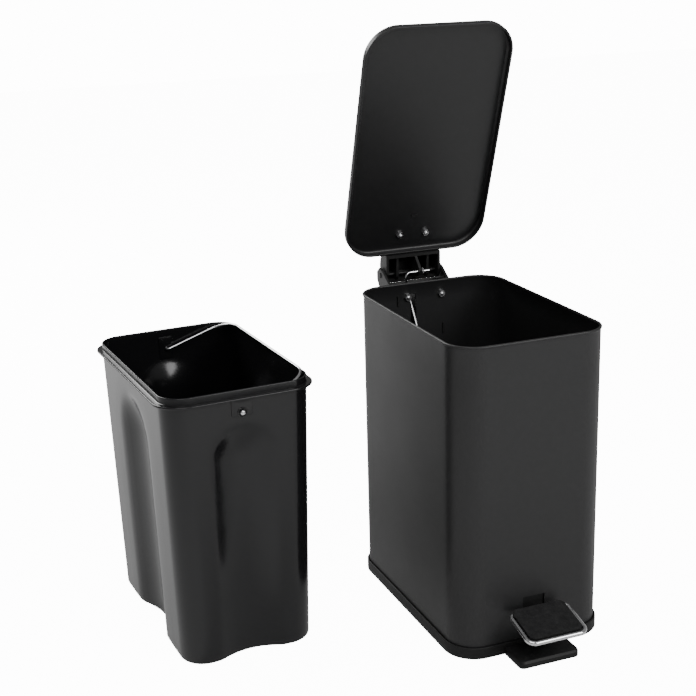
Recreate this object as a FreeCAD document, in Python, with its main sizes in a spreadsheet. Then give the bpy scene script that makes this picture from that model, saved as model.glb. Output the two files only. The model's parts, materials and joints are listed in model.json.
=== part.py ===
import FreeCAD, Part
import math
import os
import re
import Sketcher

# Pedal bin: a steel can on a moulded base, a pedal that opens the lid through a lift rod, and a
# plastic inner bucket with a wire bail that stands beside it. Millimetres, +Z up, +Y to the rear.
# The origin is the middle of the can's footprint on the floor. The lid is modelled open.

V = FreeCAD.Vector

SIZES = {
    # steel can
    "can_width": 170, "can_depth": 260, "can_height": 333, "can_corner": 31, "steel": 0.8,
    "bead_radius": 1.5, "shell_low": 6, "flange_width": 9, "clear_cut": 1,
    # moulded base with the foot tongue
    "base_height": 13, "base_proud": 2.5, "base_floor": 4, "ledge_width": 12, "seat_gap": 0.1,
    "tongue_width": 68, "tongue_reach": 37, "tongue_thick": 8, "tongue_corner": 6, "bevel": 2,
    "foot_radius": 8, "foot_inset": 22, "foot_thick": 2,
    "base_screw_radius": 1.5, "base_screw_head": 3, "base_screw_spread": 70, "base_screw_inset": 7,
    # opening in the front wall for the lever
    "port_half": 10, "port_low": 37, "port_high": 59, "shutter_lap": 2.5, "shutter_gap": 1,
    "shutter_thick": 1.2,
    # hinge
    "hinge_behind": 38, "hinge_above": 2, "pin_radius": 2, "pin_fit": 0.05, "pin_head": 3,
    "knuckle": 8.5, "hinge_half": 38, "ear_thick": 2.8, "plate_thick": 3.5, "plate_below_rim": 4.5,
    "plate_reach": 81,
    "hinge_bolt_half": 21, "hinge_bolt_below": 17, "bolt_radius": 2, "bolt_head": 4, "bolt_past": 0.8,
    "hole_gap": 0.1,
    "nut_radius": 3.9, "nut_thick": 3.2, "slot_shift": 14, "slot_half": 3.5,
    "slot_reach": 77, "slot_below_rim": 14, "tab_thick": 1.6, "tab_high": 12, "tab_poke": 1.5,
    "tab_right": 23, "tab_right_below": 64, "tab_left": 33, "tab_left_below": 26,
    # lid and its bracket, in the lid's own frame: origin on the hinge axis, lid level
    "lid_open": 71.3, "lid_side_over": 1, "lid_front_over": 2, "lid_rear_over": 12,
    "lid_corner": 36, "lid_deep": 10, "lid_drop": 0.5, "lid_round": 4, "hem_width": 2.4, "hem_thick": 1.2,
    "bracket_half": 34, "bracket_wall": 3, "bracket_plate": 4, "bracket_reach": 50, "bracket_gap": 0.6,
    "rib_thick": 3, "rib_side": 19, "lid_bolt_half": 16, "lid_bolt_inset": 21,
    "latch_half": 4, "latch_inset": 44, "latch_thick": 1.6,
    # lift rod, open position of its lid pin given by the lid angle
    "rod_radius": 1.5, "rod_pin_back": -10.5, "rod_pin_up": -17, "rod_bend": 6, "rod_reach": 15,
    "rod_inner": 12, "kink_low_below": 53, "kink_high_under": 13.5, "kink_bend": 14,
    "rod_hook": 12, "tail_up": 42, "eye_half": 5.5, "eye_rise": 3.4, "nut_plate": 1.2,
    # pedal lever
    "pivot_ahead": 45, "pivot_up": 24, "lever_half": 8, "lever_thick": 2.5, "barrel_radius": 5,
    "barrel_half": 10, "lever_pin_radius": 2.5, "lever_pin_head": 4, "ear_plate": 2, "ear_gap": 0.6,
    "ear_top": 7, "ear_foot": 14, "stand_half": 24, "stand_long": 34, "stand_screw_half": 18.5,
    "stand_screw_low": 1.5, "stand_screw_reach": 11, "tail_drop": 8, "tail_past": 9,
    "tail_ear": 2, "ear_over": 7,
    "lever_flat": 20, "crank_inside": 14,
    "pedal_slope": 14, "pedal_rear_out": 10, "pedal_rear_up": 46.5, "pedal_long": 43,
    "wire_radius": 2.5, "wire_half": 32.5, "wire_bend": 8, "wire_tuck": 12, "wire_relief": 0.4,
    "pad_half": 29.7,
    "pad_long": 40.2, "pad_thick": 7, "pad_corner": 6, "pad_behind": 5, "carrier_half": 19,
    "carrier_thick": 2.2, "carrier_lap": 8, "rivet_radius": 1.8, "rivet_head": 3.4, "rivet_half": 11,
    "rivet_inset": 24,
    # inner bucket, beside the can
    "bucket_side": 276, "bucket_back": 97, "bucket_turn": 3.3, "bucket_gap": 6.2,
    "bucket_below_rim": 43, "bucket_wall": 1.8, "bucket_corner": 25, "bucket_taper": 7,
    "bucket_taper_end": 1.5, "lip_rise": 7, "brim_out": 6, "brim_thick": 2.6,
    "bucket_foot_corner": 27, "side_flute_half": 44, "side_flute_deep": 13, "side_flute_below": 32,
    "end_flute_half": 34, "end_flute_deep": 10, "end_flute_below": 38,
    "boss_half": 11, "boss_high": 18, "boss_thick": 1.2, "bail_below": 23,
    # wire bail
    "bail_radius": 1.5, "bail_inside": 2.9, "bail_over": 1.1, "bail_inset": 7, "bail_corner": 27,
    "bail_bend": 4, "bail_hole_gap": 0.15, "bail_past": 1.2, "bail_cap_radius": 2.8,
    "bail_cap_thick": 1.6,
}

doc = FreeCAD.newDocument("pedal_bin")
size = doc.addObject("Spreadsheet::Sheet", "size")
for row, (alias, amount) in enumerate(SIZES.items(), start=1):
    size.set(f"A{row}", alias)
    size.set(f"B{row}", str(amount))
    size.setAlias(f"B{row}", alias)
doc.recompute()

# Sizes that follow from the sheet's values.
DERIVED = {
    "slot_low": "(can_height - slot_reach)",
    "plate_low": "(can_height - plate_reach)",
    "lid_width": "(can_width + 2 * lid_side_over)",
    "lid_length": "(can_depth + lid_front_over + lid_rear_over)",
    "lid_ahead": "(hinge_behind - lid_rear_over)",
    "bucket_height": "(can_height - bucket_below_rim)",
    "side_flute_top": "(bucket_height - side_flute_below)",
    "end_flute_top": "(bucket_height - end_flute_below)",
    "bail_side": "(can_width / 2 - steel - bucket_gap - bail_inside)",
    "bail_reach": "sqrt(bail_side ^ 2 + (bail_below + bail_over) ^ 2)",
    "bail_rise": "atan((bail_below + bail_over) / bail_side)",
}

# Places that several pieces share, as expressions of the sheet's values.
REAR = "(can_depth / 2)"
HINGE_Y = f"({REAR} + hinge_behind)"
HINGE_Z = "(can_height + hinge_above)"
LID_REAR = "(0 - lid_ahead)"
LID_TOP = "(lid_deep - lid_drop)"
ROD_X = "(0 - slot_shift)"
ROD_TOP_Y = f"({HINGE_Y} + rod_pin_back * cos(lid_open) + rod_pin_up * sin(lid_open))"
ROD_TOP_Z = f"({HINGE_Z} - rod_pin_back * sin(lid_open) + rod_pin_up * cos(lid_open))"
ROD_LOW_Y = f"({REAR} - rod_inner)"
PIVOT_Y = "(0 - pivot_ahead)"
PEDAL_Y = f"(0 - {REAR} - pedal_rear_out)"
BUCKET_HALF_X = "(can_width / 2 - steel - bucket_gap)"
BUCKET_HALF_Y = "(can_depth / 2 - steel - bucket_gap)"
BAIL_Z = "(bucket_height - bail_below)"

NODES = []


def spelled_out(expression):
    """The expression with every derived size replaced by what it follows from."""
    def follow(word):
        return spelled_out(DERIVED[word[0]]) if word[0] in DERIVED else word[0]
    return re.sub(r"[a-z][a-z_]*", follow, expression)


def from_sheet(expression):
    """The expression with every size name pointing at the sheet."""
    words = spelled_out(expression)
    return re.sub(r"[a-z][a-z_]*", lambda w: f"size.{w[0]}" if w[0] in SIZES else w[0], words)


def number(expression):
    """The present value of an expression of the sheet's sizes."""
    return float(size.evalExpression(spelled_out(expression)))


def bind(thing, prop, expression):
    thing.setExpression(prop, from_sheet(expression))


def place(thing, x="0", y="0", z="0", axis=None, turn="0"):
    """Bind a piece's Placement to the sheet; the turn is in degrees about the axis."""
    if axis:
        thing.Placement = FreeCAD.Placement(V(), FreeCAD.Rotation(axis, max(number(turn), 1)))
        bind(thing, "Placement.Rotation.Angle", turn)
    for letter, expression in zip("xyz", (x, y, z)):
        bind(thing, f"Placement.Base.{letter}", expression)
    return thing


def place_on_lid(thing):
    return place(thing, y=HINGE_Y, z=HINGE_Z, axis=V(-1, 0, 0), turn="lid_open")


def place_on_pedal(thing):
    return place(thing, y=PEDAL_Y, z="pedal_rear_up", axis=V(1, 0, 0), turn="pedal_slope")


def place_on_bucket(thing):
    return place(thing, x="0 - bucket_side", y="bucket_back", axis=V(0, 0, 1), turn="bucket_turn")


def new_body(label):
    body = doc.addObject("PartDesign::Body", label)
    NODES.append(body)
    return body


def node(thing, label):
    thing.Label = label
    NODES.append(thing)
    return thing


def new_sketch(body, plane, offset="0"):
    """A sketch on one of the body's origin planes; the offset is along the plane's normal."""
    sketch = body.newObject("Sketcher::SketchObject", f"{body.Label}_outline")
    support = next(f for f in body.Origin.OriginFeatures if f.Role == plane + "_Plane")
    sketch.AttachmentSupport = (support, [""])
    sketch.MapMode = "FlatFace"
    bind(sketch, "AttachmentOffset.Base.z", offset)
    return sketch


def fix(sketch, kind, *where, expression):
    """Add a dimension to the sketch and bind it to the sheet."""
    index = sketch.addConstraint(Sketcher.Constraint(kind, *where, number(expression)))
    name = f"dimension_{index}"
    sketch.renameConstraint(index, name)
    bind(sketch, f"Constraints.{name}", expression)


def fix_point(sketch, item, end, point):
    fix(sketch, "DistanceX", -1, 1, item, end, expression=point[0])
    fix(sketch, "DistanceY", -1, 1, item, end, expression=point[1])


def disc(sketch, x, y, radius):
    item = sketch.addGeometry(Part.Circle(V(number(x), number(y), 0), V(0, 0, 1), number(radius)))
    fix_point(sketch, item, 3, (x, y))
    fix(sketch, "Radius", item, expression=radius)


def polygon(sketch, points):
    """A closed outline through the points, each a pair of expressions."""
    spots = [V(number(x), number(y), 0) for x, y in points]
    first = sketch.GeometryCount
    for start, end in zip(spots, spots[1:] + spots[:1]):
        sketch.addGeometry(Part.LineSegment(start, end))
    for step, point in enumerate(points):
        before = first + (step - 1) % len(points)
        sketch.addConstraint(Sketcher.Constraint("Coincident", before, 2, first + step, 1))
        fix_point(sketch, first + step, 1, point)


def rectangle(sketch, left, right, low, high):
    polygon(sketch, [(left, low), (right, low), (right, high), (left, high)])


def rounded(sketch, left, right, low, high, radius):
    """A closed rectangle with round corners."""
    a, b, c, d, r = (number(e) for e in (left, right, low, high, radius))
    corners = [(b - r, c + r, 270), (b - r, d - r, 0), (a + r, d - r, 90), (a + r, c + r, 180)]
    runs = [((a + r, c), (b - r, c)), ((b, c + r), (b, d - r)), ((b - r, d), (a + r, d)),
            ((a, d - r), (a, c + r))]
    first = sketch.GeometryCount
    for (start, end), (x, y, angle) in zip(runs, corners):
        sketch.addGeometry(Part.LineSegment(V(*start, 0), V(*end, 0)))
        circle = Part.Circle(V(x, y, 0), V(0, 0, 1), r)
        span = (math.radians(angle), math.radians(angle + 90))
        sketch.addGeometry(Part.ArcOfCircle(circle, *span))
    for step in range(8):
        here, after = first + step, first + (step + 1) % 8
        sketch.addConstraint(Sketcher.Constraint("Tangent", here, 2, after, 1))
    for corner in (3, 5, 7):
        sketch.addConstraint(Sketcher.Constraint("Equal", first + 1, first + corner))
    for run, way in ((0, "Horizontal"), (4, "Horizontal"), (2, "Vertical"), (6, "Vertical")):
        sketch.addConstraint(Sketcher.Constraint(way, first + run))
    fix(sketch, "DistanceX", -1, 1, first + 6, 1, expression=left)
    fix(sketch, "DistanceX", -1, 1, first + 2, 1, expression=right)
    fix(sketch, "DistanceY", -1, 1, first, 1, expression=low)
    fix(sketch, "DistanceY", -1, 1, first + 4, 1, expression=high)
    fix(sketch, "Radius", first + 1, expression=radius)


def bent_path(sketch, points, radii):
    """An open run through the points, with an arc of the given radius at each inner one."""
    spots = [V(number(x), number(y), 0) for x, y in points]
    lines, bends = [], []
    start = spots[0]
    for corner, after, radius in zip(spots[1:], spots[2:], radii):
        into, out = (corner - start).normalize(), (after - corner).normalize()
        r = number(radius)
        back = r * math.tan(into.getAngle(out) / 2)
        enter, leave = corner - into * back, corner + out * back
        left = into.cross(out).z > 0
        centre = enter + V(-into.y, into.x, 0) * (r if left else -r)
        ends = [enter, leave] if left else [leave, enter]
        span = [math.atan2((end - centre).y, (end - centre).x) for end in ends]
        if span[1] < span[0]:
            span[1] += 2 * math.pi
        lines.append(sketch.addGeometry(Part.LineSegment(start, enter)))
        arc = sketch.addGeometry(Part.ArcOfCircle(Part.Circle(centre, V(0, 0, 1), r), *span))
        bends.append((arc, (1, 2) if left else (2, 1), radius))
        start = leave
    lines.append(sketch.addGeometry(Part.LineSegment(start, spots[-1])))
    for (arc, (first, last), radius), before, after in zip(bends, lines, lines[1:]):
        sketch.addConstraint(Sketcher.Constraint("Tangent", before, 2, arc, first))
        sketch.addConstraint(Sketcher.Constraint("Tangent", arc, last, after, 1))
        fix(sketch, "Radius", arc, expression=radius)
    for point, spot, before, after in zip(points[1:], spots[1:], lines, lines[1:]):
        corner = sketch.addGeometry(Part.Point(spot), True)
        fix_point(sketch, corner, 1, point)
        sketch.addConstraint(Sketcher.Constraint("PointOnObject", corner, 1, before))
        sketch.addConstraint(Sketcher.Constraint("PointOnObject", corner, 1, after))
    fix_point(sketch, lines[0], 1, points[0])
    fix_point(sketch, lines[-1], 2, points[-1])


def recompute():
    doc.recompute()
    for thing in doc.Objects:
        if {"Invalid", "Error"} & set(thing.State):
            raise RuntimeError(f"{thing.Name} ({thing.Label}) failed: {thing.State}")


def pad(body, sketch, length, both=False):
    """Add material along the sketch's normal, or the same way on both sides of it."""
    feature = body.newObject("PartDesign::Pad", f"{body.Label}_pad")
    feature.Profile = sketch
    feature.SideType = "Symmetric" if both else "One side"
    bind(feature, "Length", length)
    recompute()
    return feature


def pocket(body, sketch, length, both=False, ahead=False):
    """Cut against the sketch's normal, along it when ahead is set, or on both sides of it."""
    before = body.Shape.Volume
    feature = body.newObject("PartDesign::Pocket", f"{body.Label}_pocket")
    feature.Profile = sketch
    feature.SideType = "Symmetric" if both else "One side"
    feature.Reversed = ahead
    bind(feature, "Length", length)
    recompute()
    if body.Shape.Volume > before - 0.01:
        raise RuntimeError(f"{feature.Name} cuts nothing")
    return feature


def soften(body, kind, amount, wanted):
    """A fillet or chamfer on the body's edges that the test picks."""
    edges = [f"Edge{i}" for i, edge in enumerate(body.Shape.Edges, start=1) if wanted(edge)]
    if not edges:
        raise RuntimeError(f"{body.Label} has no such edge")
    solid = body.Tip
    feature = body.newObject(f"PartDesign::{kind}", f"{body.Label}_{kind}")
    feature.Base = (solid, edges)
    bind(feature, "Radius" if kind == "Fillet" else "Size", amount)
    recompute()


def level_at(height):
    """A test for the edges that lie level at a height."""
    at = number(height)
    return lambda edge: abs(edge.BoundBox.ZMin - at) < 0.01 and abs(edge.BoundBox.ZMax - at) < 0.01


def sweep(body, path, section_plane, section_offset, centre, radius):
    """Sweep a round section along a path sketch, from the path's start."""
    section = new_sketch(body, section_plane, section_offset)
    disc(section, centre[0], centre[1], radius)
    doc.recompute()
    feature = body.newObject("PartDesign::AdditivePipe", f"{body.Label}_pipe")
    feature.Profile = section
    feature.Spine = (path, [])
    recompute()


def turned(name, steps):
    """A turned piece along its own Z: cylinders and cones stacked from (low, high, length)."""
    pieces = []
    start = "0"
    for low, high, length in steps:
        kind = "Cylinder" if low == high else "Cone"
        piece = doc.addObject(f"Part::{kind}", f"{name}_step")
        if low == high:
            bind(piece, "Radius", low)
        else:
            bind(piece, "Radius1", low)
            bind(piece, "Radius2", high)
        bind(piece, "Height", length)
        bind(piece, "Placement.Base.z", start)
        start = f"{start} + {length}"
        pieces.append(piece)
    if len(pieces) == 1:
        return pieces[0]
    whole = doc.addObject("Part::MultiFuse", name)
    whole.Shapes = pieces
    return whole


def hexagon_nut(name, radius, bore, thick):
    blank = doc.addObject("Part::Prism", f"{name}_blank")
    blank.Polygon = 6
    bind(blank, "Circumradius", radius)
    bind(blank, "Height", thick)
    hole = doc.addObject("Part::Cylinder", f"{name}_hole")
    bind(hole, "Radius", bore)
    bind(hole, "Height", f"2 * ({thick})")
    bind(hole, "Placement.Base.z", f"0 - ({thick}) / 2")
    nut = doc.addObject("Part::Cut", name)
    nut.Base, nut.Tool = blank, hole
    return nut


def group(label, members):
    """One node of separate like pieces."""
    whole = doc.addObject("Part::Compound", label)
    whole.Links = members
    return node(whole, label)


# Moulded base ----------------------------------------------------------------------------------

def outline_of_can(sketch, grow):
    """The can's rounded outline, grown all round by an expression."""
    rounded(sketch, f"0 - can_width / 2 - ({grow})", f"can_width / 2 + {grow}",
            f"0 - {REAR} - ({grow})", f"{REAR} + {grow}", f"can_corner + {grow}")


def base_screw_spots():
    return [(f"{side} * (can_width / 2 - base_screw_inset)", f"{end} * base_screw_spread")
            for side in (-1, 1) for end in (-1, 1)]


def foot_spots():
    return [(f"{side} * (can_width / 2 - foot_inset)", f"{end} * ({REAR} - foot_inset)")
            for side in (-1, 1) for end in (-1, 1)]


def make_base():
    body = new_body("base_tray")
    ring = new_sketch(body, "XY")
    outline_of_can(ring, "base_proud")
    pad(body, ring, "base_height")
    soften(body, "Fillet", "base_proud / 3", level_at("base_height"))
    seat = new_sketch(body, "XY", "shell_low")
    outline_of_can(seat, "seat_gap")
    pocket(body, seat, "base_height", ahead=True)
    well = new_sketch(body, "XY", "base_floor")
    outline_of_can(well, "(0 - ledge_width)")
    pocket(body, well, "shell_low", ahead=True)
    tongue = new_sketch(body, "XY")
    front = f"0 - {REAR} - tongue_reach"
    rectangle(tongue, "0 - tongue_width / 2", "tongue_width / 2", front, f"0 - {REAR} - base_proud / 2")
    pad(body, tongue, "tongue_thick")
    edge_of_tongue = number(front)
    corner_of_tongue = edge_of_tongue + number("tongue_corner")

    def front_corner(edge):
        box = edge.BoundBox
        return box.YMax < edge_of_tongue + 0.01 and box.XLength < 0.01
    soften(body, "Fillet", "tongue_corner", front_corner)

    def front_rim(edge):
        box = edge.BoundBox
        return level_at("tongue_thick")(edge) and box.YMax < corner_of_tongue + 0.01
    soften(body, "Chamfer", "bevel", front_rim)
    recess = new_sketch(body, "XY")
    for x, y in foot_spots():
        disc(recess, x, y, "foot_radius + hole_gap")
    for x, y in base_screw_spots():
        disc(recess, x, y, "base_screw_head + hole_gap")
    pocket(body, recess, "foot_thick", ahead=True)
    holes = new_sketch(body, "XY")
    for x, y in base_screw_spots():
        disc(holes, x, y, "base_screw_radius + hole_gap")
    pocket(body, holes, "base_height", ahead=True)
    feet = []
    for x, y in foot_spots():
        foot = turned("foot", [("foot_radius", "foot_radius", "foot_thick")])
        feet.append(place(foot, x, y))
    group("rubber_feet", feet)
    screws = []
    for x, y in base_screw_spots():
        screw = turned("base_screw", [("base_screw_head", "base_screw_head", "foot_thick"),
                                      ("base_screw_radius", "base_screw_radius", "shell_low"),
                                      ("base_screw_radius", "base_screw_radius / 4", "base_screw_radius")])
        screws.append(place(screw, x, y))
    group("base_screws", screws)


# Steel can -------------------------------------------------------------------------------------

def rear_cuts(sketch):
    """The rod's slot and the hinge bolts' holes, shared by the can and the hinge bracket."""
    rectangle(sketch, f"{ROD_X} - slot_half", f"{ROD_X} + slot_half",
              "slot_low", "can_height - slot_below_rim")
    for side in (-1, 1):
        disc(sketch, f"{side} * hinge_bolt_half", "can_height - hinge_bolt_below",
             "bolt_radius + hole_gap")


def tab_places():
    """The locating tabs of the hinge bracket: middle x and low z."""
    return [("tab_right", "can_height - tab_right_below"),
            ("0 - tab_left", "can_height - tab_left_below")]


def make_can():
    body = new_body("can_body")
    wall = new_sketch(body, "XY", "shell_low")
    outline_of_can(wall, "0")
    pad(body, wall, "can_height - bead_radius - shell_low")
    inside = new_sketch(body, "XY", "shell_low + steel")
    outline_of_can(inside, "(0 - steel)")
    pocket(body, inside, "can_height", ahead=True)
    bottom = new_sketch(body, "XY", "shell_low")
    outline_of_can(bottom, "(0 - flange_width)")
    pocket(body, bottom, "2 * steel", ahead=True)
    bead = new_sketch(body, "XY", "can_height - bead_radius")
    outline_of_can(bead, "(0 - steel / 2)")
    bead_centre = ("0 - can_width / 2 + steel / 2", "can_height - bead_radius")
    sweep(body, bead, "XZ", "0", bead_centre, "bead_radius")
    rear = new_sketch(body, "XZ", f"0 - {REAR} + can_corner / 4")
    rear_cuts(rear)
    for x, z in tab_places():
        rectangle(rear, f"{x} - tab_thick / 2 - hole_gap", f"{x} + tab_thick / 2 + hole_gap",
                  f"{z} - hole_gap", f"{z} + tab_high + hole_gap")
    pocket(body, rear, "can_corner / 2")
    port = new_sketch(body, "XZ", f"{REAR} - can_corner / 4")
    rectangle(port, "0 - port_half", "port_half", "port_low", "port_high")
    pocket(body, port, "can_corner / 2", ahead=True)
    holes = new_sketch(body, "XY", "shell_low")
    for x, y in base_screw_spots():
        disc(holes, x, y, "base_screw_radius + hole_gap")
    pocket(body, holes, "2 * steel", ahead=True)


# Hinge -----------------------------------------------------------------------------------------

def make_hinge_bracket():
    body = new_body("hinge_body_bracket")
    side = new_sketch(body, "YZ")
    plate_top = "can_height - plate_below_rim"
    polygon(side, [
        (REAR, "plate_low"), (f"{REAR} + 2 * plate_thick", "plate_low"),
        (f"{REAR} + 4 * plate_thick", "plate_low + 5 * plate_thick"),
        (f"{HINGE_Y} + knuckle / 2", f"{HINGE_Z} - 1.7 * knuckle"),
        (f"{HINGE_Y} + 1.15 * knuckle", f"{HINGE_Z} - 0.7 * knuckle"),
        (f"{HINGE_Y} + 1.15 * knuckle", f"{HINGE_Z} + knuckle / 3"),
        (f"{HINGE_Y} + knuckle / 3", f"{HINGE_Z} + knuckle"),
        (f"{HINGE_Y} - knuckle", f"{HINGE_Z} + knuckle / 2"),
        (f"{HINGE_Y} - 3 * knuckle", plate_top), (REAR, plate_top)])
    pad(body, side, "2 * hinge_half", both=True)
    inside = new_sketch(body, "YZ")
    polygon(inside, [
        (f"{REAR} + plate_thick", "plate_low + 4 * plate_thick"),
        (f"{REAR} + 2.4 * plate_thick", "plate_low + 4 * plate_thick"),
        (f"{HINGE_Y} + knuckle / 6", f"{HINGE_Z} - 1.35 * knuckle"),
        (f"{HINGE_Y} + 3 * knuckle", f"{HINGE_Z} - 1.35 * knuckle"),
        (f"{HINGE_Y} + 3 * knuckle", f"{HINGE_Z} + 3 * knuckle"),
        (f"{REAR} + plate_thick", f"{HINGE_Z} + 3 * knuckle")])
    pocket(body, inside, "2 * (hinge_half - ear_thick)", both=True)
    bore = new_sketch(body, "YZ")
    disc(bore, HINGE_Y, HINGE_Z, "pin_radius + pin_fit")
    pocket(body, bore, "4 * hinge_half", both=True)
    back = new_sketch(body, "XZ", f"0 - {REAR} + plate_thick")
    rear_cuts(back)
    pocket(body, back, "2.5 * plate_thick")
    tabs = new_sketch(body, "XZ", f"0 - {REAR} - plate_thick / 2")
    for x, z in tab_places():
        rectangle(tabs, f"{x} - tab_thick / 2", f"{x} + tab_thick / 2", z, f"{z} + tab_high")
    pad(body, tabs, "plate_thick / 2 + steel + tab_poke")
    pin = turned("hinge_pin", [("pin_head", "pin_head", "pin_radius / 2"),
                               ("pin_radius", "pin_radius", "2 * hinge_half + 2 * pin_radius")])
    node(place(pin, "0 - hinge_half - pin_radius / 2", HINGE_Y, HINGE_Z, V(0, 1, 0), "90"), "hinge_pin")
    bolts, nuts = [], []
    for side in (-1, 1):
        bolt = turned("hinge_bolt", [("0.75 * bolt_head", "bolt_head", "bolt_head / 4"),
                                     ("bolt_head", "bolt_head", "bolt_head / 4"),
                                     ("bolt_radius", "bolt_radius",
                                      "plate_thick + steel + nut_thick + bolt_past"),
                                     ("bolt_radius", "bolt_radius / 2", "bolt_radius / 2")])
        x, z = f"{side} * hinge_bolt_half", "can_height - hinge_bolt_below"
        bolts.append(place(bolt, x, f"{REAR} + plate_thick + bolt_head / 2", z, V(1, 0, 0), "90"))
        nut = hexagon_nut("hinge_nut", "nut_radius", "bolt_radius + pin_fit", "nut_thick")
        nuts.append(place(nut, x, f"{REAR} - steel", z, V(1, 0, 0), "90"))
    group("hinge_bolts", bolts)
    group("hinge_nuts", nuts)


# Lid -------------------------------------------------------------------------------------------

def lid_outline(sketch, grow):
    rounded(sketch, f"0 - lid_width / 2 - ({grow})", f"lid_width / 2 + {grow}",
            f"{LID_REAR} - lid_length - ({grow})", f"{LID_REAR} + {grow}", f"lid_corner + {grow}")


def lid_bolt_spots():
    return [(f"{side} * lid_bolt_half", f"{LID_REAR} - lid_bolt_inset") for side in (-1, 1)]


def make_lid():
    body = place_on_lid(new_body("lid_panel"))
    skirt = new_sketch(body, "XY", "0 - lid_drop")
    lid_outline(skirt, "0")
    pad(body, skirt, "lid_deep")
    hollow = new_sketch(body, "XY", "0 - lid_drop")
    lid_outline(hollow, "(0 - steel)")
    pocket(body, hollow, "lid_deep - steel", ahead=True)
    soften(body, "Fillet", "lid_round - steel", lid_edge(f"{LID_TOP} - steel"))
    soften(body, "Fillet", "lid_round", lid_edge(LID_TOP))
    hem = new_sketch(body, "XY", "0 - lid_drop")
    lid_outline(hem, "(0 - steel / 2)")
    lid_outline(hem, "(0 - hem_width)")
    pad(body, hem, "hem_thick")
    holes = new_sketch(body, "XY", f"{LID_TOP} + clear_cut")
    for x, y in lid_bolt_spots():
        disc(holes, x, y, "bolt_radius + hole_gap")
    latch = f"{LID_REAR} - latch_inset"
    rectangle(holes, "0 - latch_half - hole_gap", "latch_half + hole_gap",
              f"{latch} - latch_thick / 2 - hole_gap", f"{latch} + latch_thick / 2 + hole_gap")
    pocket(body, holes, "2 * steel + clear_cut")


def lid_edge(height):
    """A test for the lid's edges that are level at a height in the lid's own frame."""
    turn = FreeCAD.Placement(V(0, number(HINGE_Y), number(HINGE_Z)),
                             FreeCAD.Rotation(V(-1, 0, 0), number("lid_open"))).inverse()
    at = number(height)
    return lambda edge: all(abs(turn.multVec(vertex.Point).z - at) < 0.01 for vertex in edge.Vertexes)


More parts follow.
